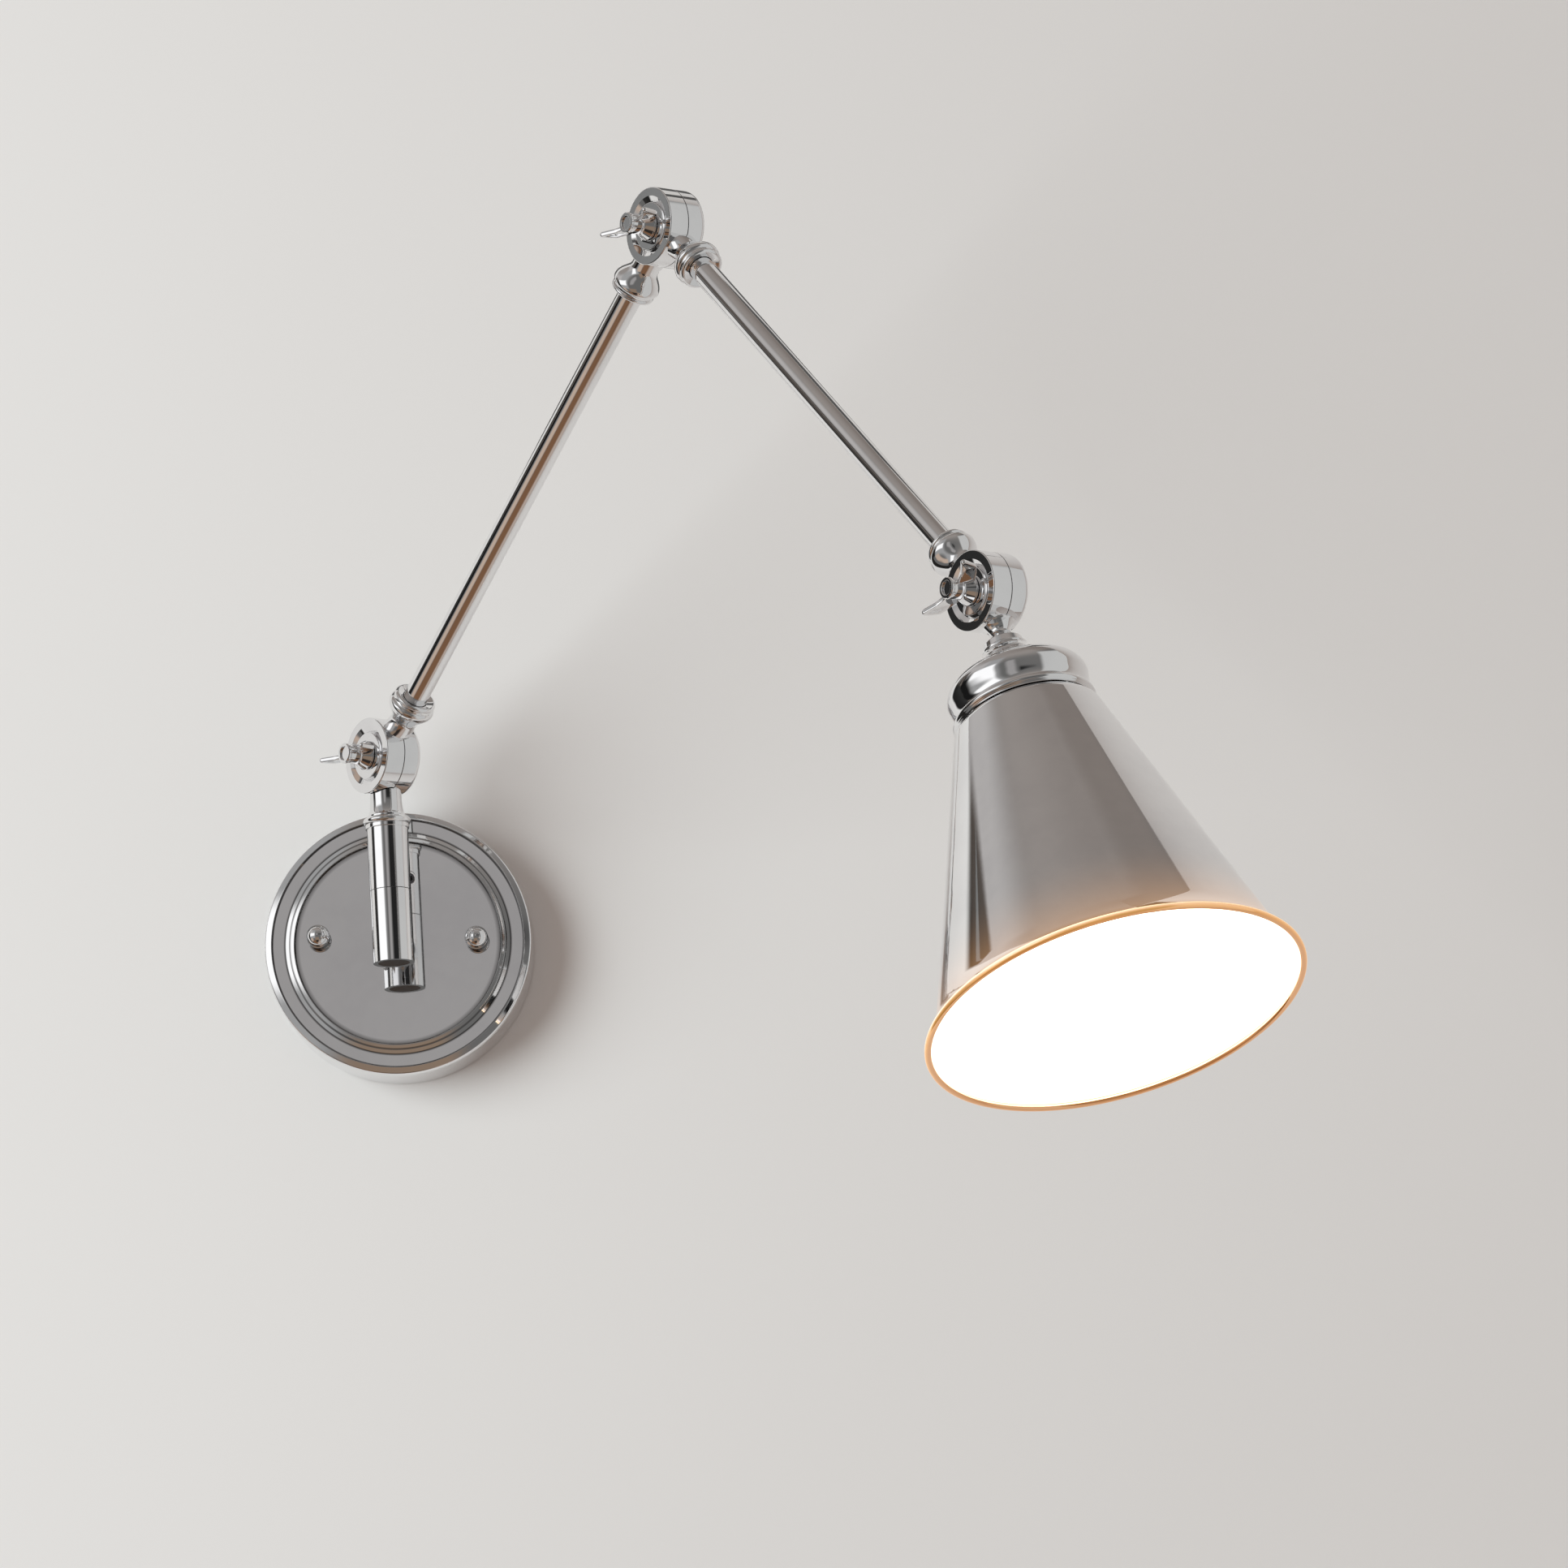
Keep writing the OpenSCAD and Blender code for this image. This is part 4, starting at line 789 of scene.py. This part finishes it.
def wall():
    """The wall behind the lamp: a flat ring round the plate's hidden middle, which a camera
    behind it sees through. Painted shade darkens it far to the left, beside the key light. In
    mirrors alone it turns dark left of the lamp, carries the cards, and ends at a sloping top
    edge."""
    a = np.linspace(0, 2 * math.pi, WALL_SIDES, endpoint=False)
    ring = np.column_stack([np.cos(a), np.zeros(WALL_SIDES), np.sin(a)])
    points = np.concatenate([ring * WALL_HOLE, ring * WALL_RADIUS]) + [0.0, WALL_BACK, 0.0]
    k = np.arange(WALL_SIDES)
    after = (k + 1) % WALL_SIDES
    faces = np.column_stack([k + WALL_SIDES, after + WALL_SIDES, after, k])
    mesh = bpy.data.meshes.new("plain_wall")
    mesh.from_pydata(points.tolist(), [], faces.tolist())
    made = bpy.data.objects.new("plain_wall", mesh)
    bpy.context.scene.collection.objects.link(made)
    paint = bpy.data.materials.new("matt_wall_paint")
    paint.use_nodes = True
    t = Tree(paint.node_tree)
    surface = paint.node_tree.nodes["Principled BSDF"]
    place = t.add("ShaderNodeTexCoord").outputs["Object"]
    noise = t.add("ShaderNodeTexNoise")
    noise.inputs["Scale"].default_value = 3.0
    t.join(place, noise.inputs["Vector"])
    plain = t.mix(noise.outputs[0], (0.8, 0.79, 0.78), (0.815, 0.806, 0.798))
    across = t.add("ShaderNodeSeparateXYZ")
    t.join(place, across.inputs[0])
    x, z = across.outputs["X"], across.outputs["Z"]
    # Painted shade: the colour falls far to the left, beside the key light.
    plain = t.mix(t.fade(x, -0.8, -2.4), plain, (0.3, 0.297, 0.293))
    mirror = t.add("ShaderNodeLightPath").outputs["Is Glossy Ray"]
    dark = t.mix(t.fade(z, 0.25, 0.5), (0.008, 0.008, 0.008), (0.075, 0.062, 0.054))
    color = t.mix(t.math("MULTIPLY", mirror, t.fade(x, -0.34, -0.5)), plain, dark)
    for middle_x, middle_z, half_x, half_z, tone in WALL_CARDS:
        card = t.math("MULTIPLY", t.math("COMPARE", x, middle_x, half_x),
                      t.math("COMPARE", z, middle_z, half_z))
        color = t.mix(t.math("MULTIPLY", mirror, card), color, (tone, tone, tone))
    t.join(color, surface.inputs["Base Color"])
    right = t.fade(t.math("SUBTRACT", z, t.math("MULTIPLY", x, 0.6)), 0.96, 1.04)
    left = t.fade(t.math("ADD", z, t.math("MULTIPLY", x, 0.8)), 0.08, 0.14)
    far_left = t.math("LESS_THAN", x, -0.37)
    over = t.math("ADD", right, t.math("MULTIPLY", far_left, t.math("SUBTRACT", left, right)))
    above = t.math("MULTIPLY", mirror, over)
    hidden = t.math("MAXIMUM", above, t.add("ShaderNodeNewGeometry").outputs["Backfacing"])
    surface.inputs["Roughness"].default_value = 0.85
    surface.inputs["Specular IOR Level"].default_value = 0.2
    clear = t.add("ShaderNodeBsdfTransparent")
    both = t.add("ShaderNodeMixShader")
    t.join(hidden, both.inputs[0])
    t.join(surface.outputs[0], both.inputs[1])
    t.join(clear.outputs[0], both.inputs[2])
    t.join(both.outputs[0], paint.node_tree.nodes["Material Output"].inputs["Surface"])
    mesh.materials.append(paint)


wall()


def build_panel():
    """Soft-edged panel of the room by bearing and height in degrees: 1 inside, 0 outside."""
    labels = ("Bearing", "Height", "Left", "Right", "Foot", "Head", "Blur")
    ins = [(label, "NodeSocketFloat", None) for label in labels]
    group, t, given, out = node_group("room_panel", ins, [("Mask", "NodeSocketFloat")])
    mask = 1.0
    for seen, low, high in (("Bearing", "Left", "Right"), ("Height", "Foot", "Head")):
        for more, less in ((seen, low), (high, seen)):
            depth = t.math("SUBTRACT", given.outputs[more], given.outputs[less])
            inside = t.math("DIVIDE", depth, given.outputs["Blur"])
            mask = t.math("MULTIPLY", mask, t.fade(inside, -1.0, 1.0))
    t.join(mask, out.inputs["Mask"])
    return group


# The room as mirrors see it, later panels over earlier ones: left and right by bearing from
# straight ahead of the wall, foot and head by height, blur, all in degrees, and the light.
ROOM_PANELS = {
    "ceiling_sheet": (-200, 200, 58, 120, 8, (0.235, 0.205, 0.186)),
    "ceiling_by_window": (-200, 60, 40, 78, 30, (0.335, 0.305, 0.285)),
    "warm_floor": (-75, 200, -120, -43, 6, (0.2, 0.105, 0.058)),
    "pale_floor": (0, 200, -120, -50, 26, (0.46, 0.38, 0.33)),
    "dark_rug": (-28, 14, -68, -44, 5, (0.03, 0.025, 0.022)),
    "low_table": (-28, 14, -45, -18, 5, (0.26, 0.19, 0.14)),
    "right_sheet": (46, 200, -62, 50, 5, (0.56, 0.56, 0.55)),
    "left_sheet": (-76, -25, -22, 52, 7, (0.36, 0.36, 0.36)),
    "left_low_sheet": (-77, -52, -41, -17, 5, (0.54, 0.42, 0.34)),
    "left_upper_sheet": (-200, -58, 27, 49, 8, (0.48, 0.46, 0.45)),
    "window": (-76, -31, 0, 26, 4, (1.15, 1.15, 1.15)),
    "front_sheet": (-12, 2, 4, 23, 4, (0.35, 0.338, 0.335)),
    "dark_doorway": (8, 35, 9, 15.5, 3, (0.018, 0.018, 0.018)),
    "black_screen": (-200, -80, -15, 15, 4, (0.01, 0.01, 0.01)),
    "black_screen_top": (-200, -92, -15, 26, 4, (0.01, 0.01, 0.01)),
}


PLAIN_LIGHT = (0.353, 0.297, 0.268)
CAMERA_SEES = (0.6, 0.59, 0.58)
MIRROR_GROUND = (0.145, 0.143, 0.14)


def world():
    """Plain room: one tone for the camera and one for plain light. In mirrors it has the
    panels, each at its own bearing and height."""
    made = bpy.data.worlds.new("soft_room")
    made.use_nodes = True
    bpy.context.scene.world = made
    t = Tree(made.node_tree)
    back = made.node_tree.nodes["Background"]
    ray = t.add("ShaderNodeLightPath")
    place = t.add("ShaderNodeSeparateXYZ")
    t.join(t.add("ShaderNodeTexCoord").outputs["Generated"], place.inputs[0])
    x, y, z = place.outputs
    bearing = t.math("MULTIPLY", t.math("ARCTAN2", x, t.math("MULTIPLY", y, -1.0)), 180 / math.pi)
    height = t.math("MULTIPLY", t.math("ARCSINE", z), 180 / math.pi)
    panel = build_panel()
    seen = MIRROR_GROUND
    for name, (left, right, foot, head, blur, light) in ROOM_PANELS.items():
        mask = t.add("ShaderNodeGroup", node_tree=panel, label=name)
        t.join(bearing, mask.inputs["Bearing"])
        t.join(height, mask.inputs["Height"])
        limits = {"Left": left, "Right": right, "Foot": foot, "Head": head, "Blur": blur}
        for key, number in limits.items():
            mask.inputs[key].default_value = number
        seen = t.mix(mask.outputs[0], seen, light)
    plain = t.mix(ray.outputs["Is Camera Ray"], PLAIN_LIGHT, CAMERA_SEES)
    t.join(t.mix(ray.outputs["Is Glossy Ray"], plain, seen), back.inputs["Color"])
    back.inputs["Strength"].default_value = 1.0


world()


def soft_light(name, place, aim, size, power, color):
    """A round area light at a place in metres, turned towards a point. Mirrors don't see it."""
    data = bpy.data.lights.new(name, "AREA")
    data.shape, data.size, data.energy, data.color = "DISK", size, power, color
    made = bpy.data.objects.new(name, data)
    made.location = place
    made.rotation_mode = "QUATERNION"
    made.rotation_quaternion = (Vector(aim) - Vector(place)).to_track_quat("-Z", "Y")
    made.visible_glossy = False
    bpy.context.scene.collection.objects.link(made)


soft_light("key_from_left", (-2.55, -2.3, 0.2), (0.0, 0.0, 0.1), 3.0, 120.0, (0.92, 1.0, 1.02))

# The photograph's camera: width and focal length in its pixels, distance from the origin in
# metres, bearing to the right and angle below in degrees, and three small turns of its aim.
PHOTO_WIDTH, FOCAL_PIXELS, SENSOR = 1932.0, 13148.1, 36.0
DISTANCE, BEARING, BELOW = 4.79974, 4.32, 11.98
AIM_TURNS = (("look", "side", 2.09), ("look", "up", 0.81), ("side", "up", -2.89))


def camera():
    """A long lens below the lamp, at the photograph's bearing. Each turn of its aim carries
    the first of two axes towards the second."""
    az, el = math.radians(BEARING), math.radians(BELOW)
    back = Vector((math.sin(az) * math.cos(el), -math.cos(az) * math.cos(el), -math.sin(el)))
    side = (-back).cross(Vector((0, 0, 1))).normalized()
    axes = {"look": -back, "side": side, "up": side.cross(-back)}
    for first, second, degrees in AIM_TURNS:
        c, s = math.cos(math.radians(degrees)), math.sin(math.radians(degrees))
        a, b = axes[first], axes[second]
        axes[first], axes[second] = a * c + b * s, b * c - a * s
    data = bpy.data.cameras.new("long_lens")
    data.lens, data.sensor_width = FOCAL_PIXELS * SENSOR / PHOTO_WIDTH, SENSOR
    data.clip_start, data.clip_end = 0.1, 60.0
    made = bpy.data.objects.new("long_lens", data)
    columns = (axes["side"], axes["up"], -axes["look"], back * DISTANCE)
    made.matrix_world = Matrix([[column[k] for column in columns] for k in range(3)]
                               + [[0, 0, 0, 1]])
    bpy.context.scene.collection.objects.link(made)
    bpy.context.scene.camera = made


camera()
bpy.context.scene.view_settings.view_transform = "Standard"
